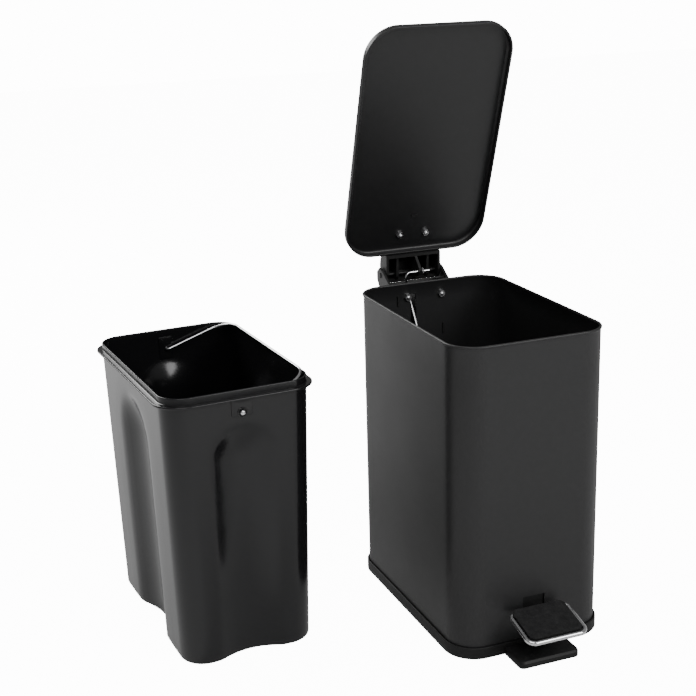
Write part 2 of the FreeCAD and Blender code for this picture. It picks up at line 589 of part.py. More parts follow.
def make_lid_bracket():
    body = place_on_lid(new_body("hinge_lid_bracket"))
    near = "(lid_ahead - bracket_gap)"
    top = f"({LID_TOP} + bracket_plate)"
    roof = f"({top} - bracket_wall)"
    far = "(lid_ahead + bracket_reach)"
    side = new_sketch(body, "YZ")
    polygon(side, [
        (f"0 - {far}", LID_TOP), (f"0 - {far}", f"{LID_TOP} + bracket_plate / 2"),
        (f"0 - {far} + bracket_plate", top), ("0 - knuckle", top), ("knuckle / 2", LID_TOP),
        ("knuckle", "knuckle / 3"), ("knuckle", "0 - knuckle / 2"), ("knuckle / 2", "0 - knuckle"),
        ("0 - 0.6 * knuckle", "0 - knuckle"), (f"0 - {near}", "0 - knuckle / 5"),
        (f"0 - {near}", LID_TOP)])
    pad(body, side, "2 * bracket_half", both=True)
    inside = new_sketch(body, "YZ")
    polygon(inside, [
        (f"0 - {near} + bracket_wall", roof), ("0 - knuckle", roof),
        ("knuckle / 2 - bracket_wall", f"{LID_TOP} - bracket_wall / 2"),
        ("knuckle - bracket_wall", "knuckle / 4"), ("knuckle - bracket_wall", "0 - knuckle / 2"),
        ("knuckle / 3", "0 - 2 * knuckle"), (f"0 - {near} + bracket_wall", "0 - 2 * knuckle")])
    pocket(body, inside, "2 * (bracket_half - bracket_wall)", both=True)
    lap = "bracket_wall / 2"
    rib = [(f"0 - {near} + {lap}", f"{roof} + {lap}"), ("0 - knuckle", f"{roof} + {lap}"),
           (f"knuckle - {lap}", "knuckle / 3"), (f"knuckle - {lap}", "0 - knuckle / 2")]
    plain_tip = [("0", "0 - 0.8 * knuckle")]
    rod_tip = [("rod_pin_back + 3 * rod_radius", "rod_pin_up"),
               ("rod_pin_back + 2 * rod_radius", "rod_pin_up - 2.4 * rod_radius"),
               ("rod_pin_back - 2 * rod_radius", "rod_pin_up - 2.4 * rod_radius"),
               ("rod_pin_back - 3 * rod_radius", "rod_pin_up")]
    for shift, tip in (("0 - rib_side", plain_tip), ("rib_side", plain_tip), ("rib_thick", rod_tip)):
        web = new_sketch(body, "YZ", shift)
        polygon(web, rib + tip + [(f"0 - {near} + {lap}", "0")])
        pad(body, web, "rib_thick", both=True)
    bore = new_sketch(body, "YZ")
    disc(bore, "0", "0", "pin_radius + pin_fit")
    pocket(body, bore, "4 * bracket_half", both=True)
    eye = new_sketch(body, "YZ", "rib_thick")
    disc(eye, "rod_pin_back", "rod_pin_up", "rod_radius + pin_fit")
    pocket(body, eye, "3 * rib_thick", both=True)
    recess = new_sketch(body, "XY", top)
    holes = new_sketch(body, "XY", top)
    for x, y in lid_bolt_spots():
        disc(recess, x, y, "bolt_head + hole_gap")
        disc(holes, x, y, "bolt_radius + hole_gap")
    pocket(body, recess, "bracket_plate * 0.6")
    pocket(body, holes, "2 * bracket_plate")
    tab = new_sketch(body, "XY", f"{LID_TOP} + bracket_plate / 2")
    latch = f"{LID_REAR} - latch_inset"
    rectangle(tab, "0 - latch_half", "latch_half",
              f"{latch} - latch_thick / 2", f"{latch} + latch_thick / 2")
    tab_pad = pad(body, tab, "bracket_plate / 2 + steel + tab_poke")
    tab_pad.Reversed = True
    recompute()
    bolts, nuts = [], []
    for x, y in lid_bolt_spots():
        bolt = turned("lid_bolt", [("0.75 * bolt_head", "bolt_head", "bracket_plate * 0.2"),
                                   ("bolt_head", "bolt_head", "bracket_plate * 0.3"),
                                   ("bolt_radius", "bolt_radius",
                                    "bracket_plate * 0.4 + steel + nut_thick + bolt_past"),
                                   ("bolt_radius", "bolt_radius / 2", "bolt_radius / 2")])
        bolts.append(place(bolt, x, y, f"{top} - bracket_plate * 0.1", V(1, 0, 0), "180"))
        nut = hexagon_nut("lid_nut", "nut_radius", "bolt_radius + pin_fit", "nut_thick")
        nuts.append(place(nut, x, y, f"{LID_TOP} - steel - nut_thick"))
    place_on_lid(group("lid_bolts", bolts))
    place_on_lid(group("lid_nuts", nuts))


# Lift rod --------------------------------------------------------------------------------------

def make_rod():
    body = new_body("lift_rod")
    run = new_sketch(body, "YZ", ROD_X)
    bent_path(run, [(ROD_LOW_Y, "tail_up + rod_bend"), (ROD_LOW_Y, "can_height - kink_low_below"),
                    (ROD_TOP_Y, f"{ROD_TOP_Z} - kink_high_under"),
                    (ROD_TOP_Y, f"{ROD_TOP_Z} - rod_bend")],
              ["kink_bend", "kink_bend"])
    sweep(body, run, "XY", "tail_up + rod_bend", (ROD_X, ROD_LOW_Y), "rod_radius")
    top = new_sketch(body, "XZ", f"0 - {ROD_TOP_Y}")
    bend_low = f"{ROD_TOP_Z} - rod_bend - rod_radius"
    bent_path(top, [(ROD_X, bend_low), (ROD_X, ROD_TOP_Z), ("rod_reach", ROD_TOP_Z)], ["rod_bend"])
    sweep(body, top, "XY", bend_low, (ROD_X, ROD_TOP_Y), "rod_radius")
    hook = new_sketch(body, "XZ", f"0 - {ROD_LOW_Y}")
    bent_path(hook, [(ROD_X, "tail_up + rod_bend + rod_radius"), (ROD_X, "tail_up"),
                     (f"{ROD_X} + rod_hook", "tail_up")], ["rod_bend - rod_radius"])
    sweep(body, hook, "XY", "tail_up + rod_bend + rod_radius", (ROD_X, ROD_LOW_Y), "rod_radius")
    nut = hexagon_nut("rod_push_nut", "2.4 * rod_radius", "rod_radius + pin_fit / 5", "nut_plate")
    node(place(nut, "2 * rib_thick", ROD_TOP_Y, ROD_TOP_Z, V(0, 1, 0), "90"), "rod_push_nut")


# Pedal and lever -------------------------------------------------------------------------------

def on_pedal(along, up):
    """A point of the pedal's sloping frame as level (y, z) expressions."""
    return (f"{PEDAL_Y} + ({along}) * cos(pedal_slope) - ({up}) * sin(pedal_slope)",
            f"pedal_rear_up + ({along}) * sin(pedal_slope) + ({up}) * cos(pedal_slope)")


def make_lever():
    body = new_body("pedal_lever")
    under = "(0 - pad_thick / 2)"
    crank = f"0 - {REAR} + crank_inside"
    lap_top = on_pedal("0 - carrier_lap", f"{under} - carrier_thick")
    lap_low = on_pedal("0 - carrier_lap", f"{under} - carrier_thick - lever_thick")
    bend_top = on_pedal("pad_behind - 1", f"{under} - carrier_thick")
    bend_low = on_pedal("pad_behind - 1", f"{under} - carrier_thick - lever_thick")
    tail_y = f"{ROD_LOW_Y} + tail_past"
    strip = new_sketch(body, "YZ")
    polygon(strip, [
        (tail_y, "tail_up - tail_drop"), (f"{PIVOT_Y} + lever_flat", "pivot_up + lever_thick / 2"),
        (f"{PIVOT_Y} - lever_flat", "pivot_up + lever_thick / 2"), (crank, bend_top[1]), bend_top,
        lap_top, lap_low, bend_low, (crank, bend_low[1]),
        (f"{PIVOT_Y} - lever_flat", "pivot_up - lever_thick / 2"),
        (f"{PIVOT_Y} + lever_flat", "pivot_up - lever_thick / 2"),
        (tail_y, "tail_up - tail_drop - lever_thick")])
    pad(body, strip, "2 * lever_half", both=True)
    shutter = new_sketch(body, "XZ", f"{REAR} - steel - shutter_gap")
    rectangle(shutter, "0 - port_half - shutter_lap", "port_half + shutter_lap",
              "port_low - 2 * shutter_lap", "port_high + shutter_lap")
    shutter_pad = pad(body, shutter, "shutter_thick")
    shutter_pad.Reversed = True
    recompute()
    barrel = new_sketch(body, "YZ")
    disc(barrel, PIVOT_Y, "pivot_up", "barrel_radius")
    pad(body, barrel, "2 * barrel_half", both=True)
    ear = new_sketch(body, "YZ", "0 - lever_half")
    rectangle(ear, f"{ROD_LOW_Y} - tail_past", tail_y,
              "tail_up - tail_drop - lever_thick / 2", "tail_up + ear_over")
    pad(body, ear, "tail_ear")
    bore = new_sketch(body, "YZ")
    disc(bore, PIVOT_Y, "pivot_up", "lever_pin_radius + pin_fit")
    pocket(body, bore, "4 * barrel_half", both=True)
    eye = new_sketch(body, "YZ", "0 - lever_half - tail_ear")
    rectangle(eye, f"{ROD_LOW_Y} - eye_half", f"{ROD_LOW_Y} + eye_half",
              "tail_up - eye_rise", "tail_up + eye_rise")
    pocket(body, eye, "3 * tail_ear", ahead=True)


def make_pedal():
    wire = place_on_pedal(new_body("pedal_wire"))
    loop = new_sketch(wire, "XY")
    bent_path(loop, [("0 - wire_half + wire_tuck", "0"), ("0 - wire_half", "0"),
                     ("0 - wire_half", "0 - pedal_long"), ("wire_half", "0 - pedal_long"),
                     ("wire_half", "0"), ("wire_half - wire_tuck", "0")],
              ["wire_bend / 2", "wire_bend", "wire_bend", "wire_bend / 2"])
    sweep(wire, loop, "YZ", "0 - wire_half + wire_tuck", ("0", "0"), "wire_radius")
    tread = place_on_pedal(new_body("pedal_pad"))
    outline = new_sketch(tread, "XY")
    rounded(outline, "0 - pad_half", "pad_half", "0 - pad_long", "pad_behind", "pad_corner")
    pad(tread, outline, "pad_thick", both=True)
    for side in (-1, 1):
        bore = new_sketch(tread, "YZ", f"{side} * (pad_half + clear_cut)")
        disc(bore, "0", "0", "wire_radius + pin_fit")
        pocket(tread, bore, "pad_half + clear_cut - wire_half + wire_tuck + hole_gap", ahead=side < 0)
        mouth = new_sketch(tread, "YZ", f"{side} * (pad_half + clear_cut)")
        disc(mouth, "0", "0", "wire_radius + wire_relief")
        pocket(tread, mouth, "pad_half + clear_cut - wire_half + wire_bend / 2", ahead=side < 0)
    plate = place_on_pedal(new_body("pedal_plate"))
    sheet = new_sketch(plate, "XY", "0 - pad_thick / 2 - carrier_thick")
    rectangle(sheet, "0 - carrier_half", "carrier_half", "2 - pad_long", "pad_behind - 1")
    pad(plate, sheet, "carrier_thick")
    into_tread = "2 * carrier_thick + pad_thick / 4 + hole_gap"
    for piece, length in ((plate, "2 * carrier_thick"), (tread, into_tread)):
        holes = new_sketch(piece, "XY", "0 - pad_thick / 2 - 2 * carrier_thick")
        for side in (-1, 1):
            disc(holes, f"{side} * rivet_half", "0 - rivet_inset", "rivet_radius + hole_gap")
        pocket(piece, holes, length, ahead=True)
    rivets = []
    for side in (-1, 1):
        rivet = turned("rivet", [("rivet_head * 0.8", "rivet_head", "carrier_thick / 3"),
                                 ("rivet_head", "rivet_head", "carrier_thick / 3"),
                                 ("rivet_radius", "rivet_radius", "carrier_thick + pad_thick / 4")])
        rivets.append(place(rivet, f"{side} * rivet_half", "0 - rivet_inset",
                            "0 - pad_thick / 2 - carrier_thick - carrier_thick * 2 / 3"))
    place_on_pedal(group("pedal_rivets", rivets))


def stand_screw_spots():
    return [(f"{side} * stand_screw_half", f"{PIVOT_Y} + {end} * stand_screw_reach")
            for side in (-1, 1) for end in (-1, 1)]


def make_stand():
    body = new_body("lever_stand")
    inner = "(barrel_half + ear_gap)"
    ears = new_sketch(body, "YZ")
    polygon(ears, [(f"{PIVOT_Y} - ear_foot", "base_floor"), (f"{PIVOT_Y} + ear_foot", "base_floor"),
                   (f"{PIVOT_Y} + ear_foot", "base_floor + ear_plate"),
                   (f"{PIVOT_Y} + ear_top", "pivot_up + ear_top"),
                   (f"{PIVOT_Y} - ear_top", "pivot_up + ear_top"),
                   (f"{PIVOT_Y} - ear_foot", "base_floor + ear_plate")])
    pad(body, ears, f"2 * ({inner} + ear_plate)", both=True)
    gap = new_sketch(body, "YZ")
    rectangle(gap, f"{PIVOT_Y} - 2 * ear_foot", f"{PIVOT_Y} + 2 * ear_foot",
              "base_floor + ear_plate", "2 * pivot_up")
    pocket(body, gap, f"2 * {inner}", both=True)
    foot = new_sketch(body, "XY", "base_floor")
    rounded(foot, "0 - stand_half", "stand_half",
            f"{PIVOT_Y} - stand_long / 2", f"{PIVOT_Y} + stand_long / 2", "ear_plate")
    pad(body, foot, "ear_plate")
    bore = new_sketch(body, "YZ")
    disc(bore, PIVOT_Y, "pivot_up", "lever_pin_radius + pin_fit")
    pocket(body, bore, "4 * stand_half", both=True)
    holes = new_sketch(body, "XY", "base_floor + 2 * ear_plate")
    for x, y in stand_screw_spots():
        disc(holes, x, y, "base_screw_radius + hole_gap")
    pocket(body, holes, "3 * ear_plate")
    tray = doc.getObject("base_tray")
    sockets = new_sketch(tray, "XY", "base_floor + clear_cut")
    for x, y in stand_screw_spots():
        disc(sockets, x, y, "base_screw_radius + hole_gap")
    pocket(tray, sockets, "base_floor + clear_cut - stand_screw_low + hole_gap")
    screws = []
    for x, y in stand_screw_spots():
        screw = turned("stand_screw", [
            ("base_screw_radius", "base_screw_radius", "base_floor - stand_screw_low + ear_plate"),
            ("base_screw_head", "0.7 * base_screw_head", "base_screw_radius")])
        screws.append(place(screw, x, y, "stand_screw_low"))
    group("stand_screws", screws)
    pin = turned("lever_pin", [("lever_pin_head", "lever_pin_head", "ear_plate"),
                               ("lever_pin_radius", "lever_pin_radius",
                                f"2 * ({inner} + ear_plate) + ear_plate"),
                               ("lever_pin_radius", "lever_pin_radius * 0.7", "ear_plate / 2")])
    node(place(pin, f"0 - {inner} - 2 * ear_plate", PIVOT_Y, "pivot_up", V(0, 1, 0), "90"), "lever_pin")


# Inner bucket and its bail ----------------------------------------------------------------------

def bucket_level(name, height, shrink_x, shrink_y, corner):
    """A free rounded outline of the bucket at a height."""
    sketch = doc.addObject("Sketcher::SketchObject", name)
    bind(sketch, "Placement.Base.z", height)
    rounded(sketch, f"0 - {BUCKET_HALF_X} + {shrink_x}", f"{BUCKET_HALF_X} - ({shrink_x})",
            f"0 - {BUCKET_HALF_Y} + {shrink_y}", f"{BUCKET_HALF_Y} - ({shrink_y})", corner)
    return sketch


def bucket_loft(name, low, high, shrink):
    """The tapered form between two heights, shrunk all round by an expression."""
    foot = bucket_level(f"{name}_foot", low, f"(bucket_taper + {shrink})", f"(bucket_taper_end + {shrink})",
                        f"bucket_foot_corner - ({shrink})")
    rim = bucket_level(f"{name}_rim", high, f"({shrink})", f"({shrink})", f"bucket_corner - ({shrink})")
    loft = doc.addObject("Part::Loft", name)
    loft.Sections = [foot, rim]
    loft.Solid = True
    loft.Ruled = True
    return loft


def flute(name, grow, turn, half, deep, top, wall_low, taper):
    """A round channel down one wall with an arched top; grow adds to its radius."""
    radius = f"(({half}) ^ 2 + ({deep}) ^ 2) / (2 * ({deep}))"
    lean = f"atan({taper} / bucket_height)"
    centre_z = f"({top} - {half})"
    out = f"({wall_low} - {deep} + {radius})"
    up_x = f"{out} + {centre_z} * {taper} / bucket_height"
    channel = doc.addObject("Part::Cylinder", f"{name}_channel")
    arch = doc.addObject("Part::Sphere", f"{name}_arch")
    for piece in (channel, arch):
        bind(piece, "Radius", f"{radius} + {grow}")
        bind(piece, "Placement.Base.x", up_x)
        bind(piece, "Placement.Base.z", centre_z)
    bind(channel, "Height", f"2 * {centre_z}")
    channel.Placement = FreeCAD.Placement(V(), FreeCAD.Rotation(V(0, 1, 0), 180))
    bind(channel, "Placement.Rotation.Angle", f"180 deg + {lean}")
    whole = doc.addObject("Part::MultiFuse", name)
    whole.Shapes = [channel, arch]
    whole.Placement = FreeCAD.Placement(V(), FreeCAD.Rotation(V(0, 0, 1), turn))
    return whole


def flutes(name, grow):
    """The four channels, one down each wall."""
    side = ("side_flute_half", "side_flute_deep", "side_flute_top",
            f"({BUCKET_HALF_X} - bucket_taper)", "bucket_taper")
    end = ("end_flute_half", "end_flute_deep", "end_flute_top",
           f"({BUCKET_HALF_Y} - bucket_taper_end)", "bucket_taper_end")
    whole = doc.addObject("Part::MultiFuse", name)
    whole.Shapes = [flute(f"{name}_{turn}", grow, turn, *(side if turn % 180 == 0 else end))
                    for turn in (0, 90, 180, 270)]
    return whole


def cut(name, base, tool):
    thing = doc.addObject("Part::Cut", name)
    thing.Base, thing.Tool = base, tool
    return thing


def ring(name, low, thick, outer, inner):
    """A level ring that follows the bucket's outline, between two growths of it."""
    pieces = []
    for part, grow in (("out", outer), ("in", inner)):
        sketch = bucket_level(f"{name}_{part}", low, f"(0 - ({grow}))", f"(0 - ({grow}))",
                              f"bucket_corner + {grow}")
        solid = doc.addObject("Part::Extrusion", f"{name}_{part}_solid")
        solid.Base = sketch
        solid.DirMode = "Normal"
        solid.Solid = True
        bind(solid, "LengthFwd", thick)
        pieces.append(solid)
    return cut(name, *pieces)


def make_bucket():
    outside = cut("bucket_outside", bucket_loft("bucket_out", "0", "bucket_height", "0"),
                  flutes("flutes_out", "0"))
    hollow = cut("bucket_hollow",
                 bucket_loft("bucket_in", "bucket_wall", "bucket_height + clear_cut", "bucket_wall"),
                 flutes("flutes_in", "bucket_wall"))
    skin = cut("bucket_skin", outside, hollow)
    brim_low = "bucket_height - lip_rise - brim_thick"
    brim = ring("bucket_brim", brim_low, "brim_thick", "brim_out", "(0 - bucket_wall / 2)")
    pieces = [skin, brim]
    for side in (-1, 1):
        boss = doc.addObject("Part::Box", "bucket_boss")
        bind(boss, "Length", "2 * boss_half")
        bind(boss, "Width", "boss_thick + bucket_wall")
        bind(boss, "Height", "boss_high")
        bind(boss, "Placement.Base.x", "0 - boss_half")
        bind(boss, "Placement.Base.y", f"{side} * ({BUCKET_HALF_Y} - bucket_wall / 2) + "
             f"({side} - 1) / 2 * (boss_thick + bucket_wall)")
        bind(boss, "Placement.Base.z", f"{brim_low} - boss_high + brim_thick / 2")
        pieces.append(boss)
    whole = doc.addObject("Part::MultiFuse", "bucket_whole")
    whole.Shapes = pieces
    bore = doc.addObject("Part::Cylinder", "bail_bore")
    bind(bore, "Radius", "bail_radius + bail_hole_gap")
    bind(bore, "Height", "2 * can_depth")
    place(bore, y="can_depth", z=BAIL_Z, axis=V(1, 0, 0), turn="90")
    node(place_on_bucket(cut("bucket_shell", whole, bore)), "bucket_shell")


BAIL_OUT = f"({BUCKET_HALF_Y} + boss_thick + bucket_wall / 2 + bail_past)"
BAIL_LEG = f"({BUCKET_HALF_Y} - bail_inset)"


def make_bail():
    wire = new_body("bail_wire")
    path = new_sketch(wire, "XY")
    bent_path(path, [("0", f"0 - {BAIL_OUT}"), ("0", f"0 - {BAIL_LEG}"), ("bail_reach", f"0 - {BAIL_LEG}"),
                     ("bail_reach", BAIL_LEG), ("0", BAIL_LEG), ("0", BAIL_OUT)],
              ["bail_bend", "bail_corner", "bail_corner", "bail_bend"])
    sweep(wire, path, "XZ", BAIL_OUT, ("0", "0"), "bail_radius")
    caps = []
    for side in (-1, 1):
        cap = turned("bail_cap", [("bail_cap_radius", "bail_cap_radius", "bail_cap_thick / 2"),
                                  ("bail_cap_radius", "bail_cap_radius / 2", "bail_cap_thick / 2")])
        caps.append(place(cap, y=f"{side} * {BAIL_OUT}", axis=V(-side, 0, 0), turn="90"))
    place_bail(wire)
    place_bail(group("bail_caps", caps))


def place_bail(thing):
    """Put a piece of the bail on its pivot line, laid over against the lip."""
    turn = FreeCAD.Rotation(V(0, 0, 1), number("bucket_turn"))
    rise = FreeCAD.Rotation(V(0, -1, 0), number("bail_rise"))
    thing.Placement = FreeCAD.Placement(V(), turn * rise)
    place(thing, x="0 - bucket_side", y="bucket_back", z=BAIL_Z)
    return thing


def main():
    make_base()
    make_can()
    make_hinge_bracket()
    make_lid()
    make_lid_bracket()
    make_rod()
    make_lever()
    make_pedal()
    make_stand()
    make_bucket()
    make_bail()
    recompute()
    os.makedirs("parts", exist_ok=True)
    for thing in NODES:
        shape = thing.Shape
        if shape.isNull() or not shape.isValid() or not shape.Solids:
            raise RuntimeError(f"{thing.Label} has no valid solid")
    for thing in NODES:
        thing.Shape.exportStep(f"parts/{thing.Label}.step")
        box = thing.Shape.BoundBox
        print(f"{thing.Label}: {len(thing.Shape.Solids)} solid(s), volume {thing.Shape.Volume:.0f}, "
              f"x {box.XMin:.1f} to {box.XMax:.1f}, y {box.YMin:.1f} to {box.YMax:.1f}, "
              f"z {box.ZMin:.1f} to {box.ZMax:.1f}")


main()
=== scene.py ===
import json
import math

import bpy
from bpy.props import FloatProperty, FloatVectorProperty, PointerProperty
from bpy.types import Operator, Panel, PropertyGroup
from mathutils import Matrix, Vector


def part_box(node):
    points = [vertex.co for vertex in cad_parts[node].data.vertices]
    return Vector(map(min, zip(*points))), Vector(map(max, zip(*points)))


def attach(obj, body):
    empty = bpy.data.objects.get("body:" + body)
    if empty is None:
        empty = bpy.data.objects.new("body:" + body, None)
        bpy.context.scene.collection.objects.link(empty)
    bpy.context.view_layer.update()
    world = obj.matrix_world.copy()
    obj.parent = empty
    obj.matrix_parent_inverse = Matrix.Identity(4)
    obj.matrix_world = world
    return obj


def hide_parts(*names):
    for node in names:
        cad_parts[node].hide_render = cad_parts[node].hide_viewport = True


bl_info = {
    "name": "Pedal bin",
    "version": (1, 0, 0),
    "blender": (4, 5, 0),
    "location": "View3D > Sidebar > Bin",
    "description": "Builds the looks of a steel pedal bin and its inner bucket round their frame",
    "category": "Object",
}

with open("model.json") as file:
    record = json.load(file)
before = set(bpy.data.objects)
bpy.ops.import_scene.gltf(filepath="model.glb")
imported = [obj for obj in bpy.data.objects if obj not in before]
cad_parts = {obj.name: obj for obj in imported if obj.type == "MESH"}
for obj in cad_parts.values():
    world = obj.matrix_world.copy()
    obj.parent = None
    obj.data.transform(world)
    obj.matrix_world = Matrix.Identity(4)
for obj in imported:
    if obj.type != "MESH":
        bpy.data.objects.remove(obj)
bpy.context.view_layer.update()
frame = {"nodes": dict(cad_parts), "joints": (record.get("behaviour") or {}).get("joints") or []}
NODES = frame["nodes"]
JOINTS = {joint["name"]: joint for joint in frame["joints"]}

CORNER_STEPS = 20
SIDE_STEPS = 28
WIRE_SIDES = 24
TURNED_SIDES = 40
BEND_STEPS = 14
SMOOTH_BELOW = math.radians(32)
# A wire's rounded end: radii of its rings, how far they curve in, and where the full wire starts,
# all as shares of the wire's radius.
END_SHARES = (0.45, 0.8, 0.95)
END_CURVE = 0.3
END_DEPTH = 0.45


def size_of(node):
    """Width, depth and height of a frame node."""
    low, high = (Vector(corner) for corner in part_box(node))
    return high - low


# Places that come from the frame's joints -----------------------------------------------------

def lid_place():
    """The open lid's own frame: the origin is on the hinge line, and the lid is level in it."""
    joint = JOINTS["lid_hinge"]
    opening = -math.radians(joint["range_deg"][0])
    return Matrix.Translation(joint["pos_m"]) @ Matrix.Rotation(-opening, 4, "X")


def bucket_place():
    """The bucket's own frame: the origin is on the floor, in the middle of its foot."""
    joint = JOINTS["bail_swing"]
    axis = joint["axis"]
    turn = math.atan2(axis[0], -axis[1])
    spot = Vector((joint["pos_m"][0], joint["pos_m"][1], 0))
    return Matrix.Translation(spot) @ Matrix.Rotation(turn, 4, "Z")


# Sizes and colours that a user would change ------------------------------------------------------

def length(name, default, description):
    return FloatProperty(name=name, description=description, default=default, min=0, unit="LENGTH",
                         precision=4)


def shade(name, default, description):
    return FloatVectorProperty(name=name, description=description, default=default, subtype="COLOR",
                               size=3, min=0, max=1)


def amount(name, default, description, low=0.0, high=1.0):
    return FloatProperty(name=name, description=description, default=default, min=low, max=high,
                         subtype="FACTOR")


class BinShell(PropertyGroup):
    """Sizes of the steel can, its base and its lid."""
    corner: length("Can corner", 0.031, "Corner radius of the steel can")
    steel: length("Sheet", 0.0008, "Thickness of the steel sheet")
    bead: length("Rim bead", 0.0015, "Radius of the rolled rim")
    flange: length("Bottom flange", 0.009, "Width of the turned-in bottom edge")
    base_lap: length("Base lap", 0.0025, "How far the base stands out past the can")
    base_high: length("Base height", 0.013, "Height of the base's outer wall")
    tongue_wide: length("Tongue width", 0.068, "Width of the foot tongue")
    tongue_thick: length("Tongue thickness", 0.008, "Thickness of the foot tongue")
    lid_corner: length("Lid corner", 0.036, "Corner radius of the lid")
    lid_deep: length("Lid skirt", 0.010, "Depth of the lid's skirt")
    lid_round: length("Lid edge", 0.004, "Radius between the lid's top and its skirt")
    lid_drop: length("Lid drop", 0.0005, "How far the skirt ends below the hinge line")
    lid_ahead: length("Lid gap", 0.026, "From the hinge line to the lid's rear edge")
    lid_long: length("Lid length", 0.274, "Length of the lid")
    hem: length("Hem", 0.0024, "Width of the lid's hem")
    rod: length("Lift rod", 0.0015, "Radius of the lift rod's wire")
    slot_half: length("Rod slot", 0.0035, "Half width of the slot for the lift rod")
    slot_low: length("Rod slot foot", 0.256, "Height of the lower end of the rod's slot")
    port_low: length("Pedal opening foot", 0.037, "Height of the pedal opening's lower edge")
    port_high: length("Pedal opening top", 0.059, "Height of the pedal opening's upper edge")


class BinBucket(PropertyGroup):
    """Sizes of the inner bucket and its bail."""
    half_x: length("Half width", 0.078, "Half width of the lip")
    half_y: length("Half length", 0.123, "Half length of the lip")
    tall: length("Height", 0.290, "Height of the bucket")
    taper_x: length("Side taper", 0.007, "How far each long wall leans in at the foot")
    taper_y: length("End taper", 0.0015, "How far each end wall leans in at the foot")
    corner: length("Lip corner", 0.025, "Corner radius at the lip")
    foot_corner: length("Foot corner", 0.027, "Corner radius at the foot")
    wall: length("Wall", 0.0018, "Thickness of the moulded wall")
    lip: length("Lip", 0.007, "How far the lip stands above the brim")
    brim: length("Brim", 0.006, "How far the brim stands out")
    brim_thick: length("Brim thickness", 0.0026, "Thickness of the brim")
    foot_round: length("Foot edge", 0.004, "Radius round the foot")
    side_half: length("Side channel", 0.044, "Half width of the channel down each long wall")
    side_deep: length("Side channel depth", 0.013, "Depth of the channel down each long wall")
    side_top: length("Side channel top", 0.258, "Height of the arched top of the side channels")
    end_half: length("End channel", 0.034, "Half width of the channel down each end wall")
    end_deep: length("End channel depth", 0.010, "Depth of the channel down each end wall")
    end_top: length("End channel top", 0.252, "Height of the arched top of the end channels")
    bail_reach: length("Bail reach", 0.07887, "From the bail's pivots to its grip")
    bail_inset: length("Bail inset", 0.007, "How far the bail's legs stand inside the lip")
    bail_corner: length("Bail corner", 0.027, "Bend radius of the bail")
    bail_bend: length("Bail end bend", 0.004, "Bend radius at the bail's pivots")
    bail_out: length("Bail ends", 0.0033, "How far the bail's ends stand out past the lip")
    bail_lean: FloatProperty(name="Bail lean", description="How far the bail rises from level at rest",
                             default=math.atan2(0.0241, 0.0751), subtype="ANGLE")
    wire: length("Wire radius", 0.0015, "Radius of the bail's wire")


class BinFinish(PropertyGroup):
    """Colours and gloss."""
    paint: shade("Can paint", (0.013, 0.013, 0.0135), "Powder coat of the steel can")
    lid_paint: shade("Lid paint", (0.010, 0.010, 0.0105), "Satin coat of the lid")
    moulding: shade("Matt moulding", (0.008, 0.008, 0.008), "Plastic of the base and hinge")
    gloss: shade("Bucket", (0.005, 0.005, 0.0055), "Glossy plastic of the bucket")
    bright: shade("Bright metal", (0.93, 0.93, 0.94), "Plated wire and fasteners")
    rubber: shade("Tread", (0.006, 0.006, 0.0065), "Rubber of the pedal tread")
    dust: shade("Dust", (0.20, 0.20, 0.20), "Fine dust on faces that look up")
    dusting: amount("Dusting", 0.035, "How much dust shows")


class BinStage(PropertyGroup):
    """Camera and lights."""
    azimuth: FloatProperty(name="Azimuth", description="Camera's turn round the bin",
                           default=math.radians(-21.3), subtype="ANGLE")
    elevation: FloatProperty(name="Elevation", description="Camera's height above the horizon",
                             default=math.radians(16.9), subtype="ANGLE")
    roll: FloatProperty(name="Roll", description="Camera's roll", default=math.radians(-1.6),
                        subtype="ANGLE")
    distance: length("Distance", 1.4648, "From the camera to the bin's middle plane")
    aim_up: length("Aim", 0.130, "Height of the point that the camera's offsets start from")
    aim_left: length("Aim left", 0.1401, "How far left of that point the camera looks")
    aim_over: length("Aim over", 0.1513, "How far over that point the camera looks")
    lens: FloatProperty(name="Lens", description="Focal length in millimetres", default=69.2)
    sky: amount("Sky", 0.22, "Strength of the surroundings' light", 0, 5)
    backdrop: amount("Backdrop", 14.0, "Brightness of the backdrop behind the bin", 0, 20)
    floor: shade("Floor", (0.86, 0.86, 0.86), "Colour of the floor")
    floor_glow: amount("Floor glow", 13.0, "Light from under the floor sheet", 0, 20)


SETTINGS = {"bin_shell": BinShell, "bin_bucket": BinBucket, "bin_finish": BinFinish,
            "bin_stage": BinStage}


# Mesh making ---------------------------------------------------------------------------------------

def outline(half_x, half_y, corner, height, middle=(0, 0)):
    """Points of a level rounded rectangle, anticlockwise, the same count for every size."""
    radius = max(corner, 1e-5)
    points = []
    for quarter in range(4):
        along, across = (half_y, half_x) if quarter % 2 == 0 else (half_x, half_y)
        turn = Matrix.Rotation(quarter * math.pi / 2, 2)
        run = along - radius
        for step in range(SIDE_STEPS):
            points.append(turn @ Vector((across, -run + 2 * run * step / SIDE_STEPS)))
        for step in range(CORNER_STEPS):
            angle = math.pi / 2 * step / CORNER_STEPS
            spot = Vector((across - radius + radius * math.cos(angle), run + radius * math.sin(angle)))
            points.append(turn @ spot)
    return [Vector((p.x + middle[0], p.y + middle[1], height)) for p in points]


def skin(rings, closed=False):
    """Join rings of equal count into one surface, capped at both ends or closed on itself."""
    count = len(rings[0])
    verts = [point for ring in rings for point in ring]
    faces = []
    last = len(rings) if closed else len(rings) - 1
    for level in range(last):
        here, after = level * count, (level + 1) % len(rings) * count
        for step in range(count):
            turn = (step + 1) % count
            faces.append((here + step, here + turn, after + turn, after + step))
    if not closed:
        faces.append(tuple(reversed(range(count))))
        faces.append(tuple(range((len(rings) - 1) * count, len(rings) * count)))
    return verts, faces


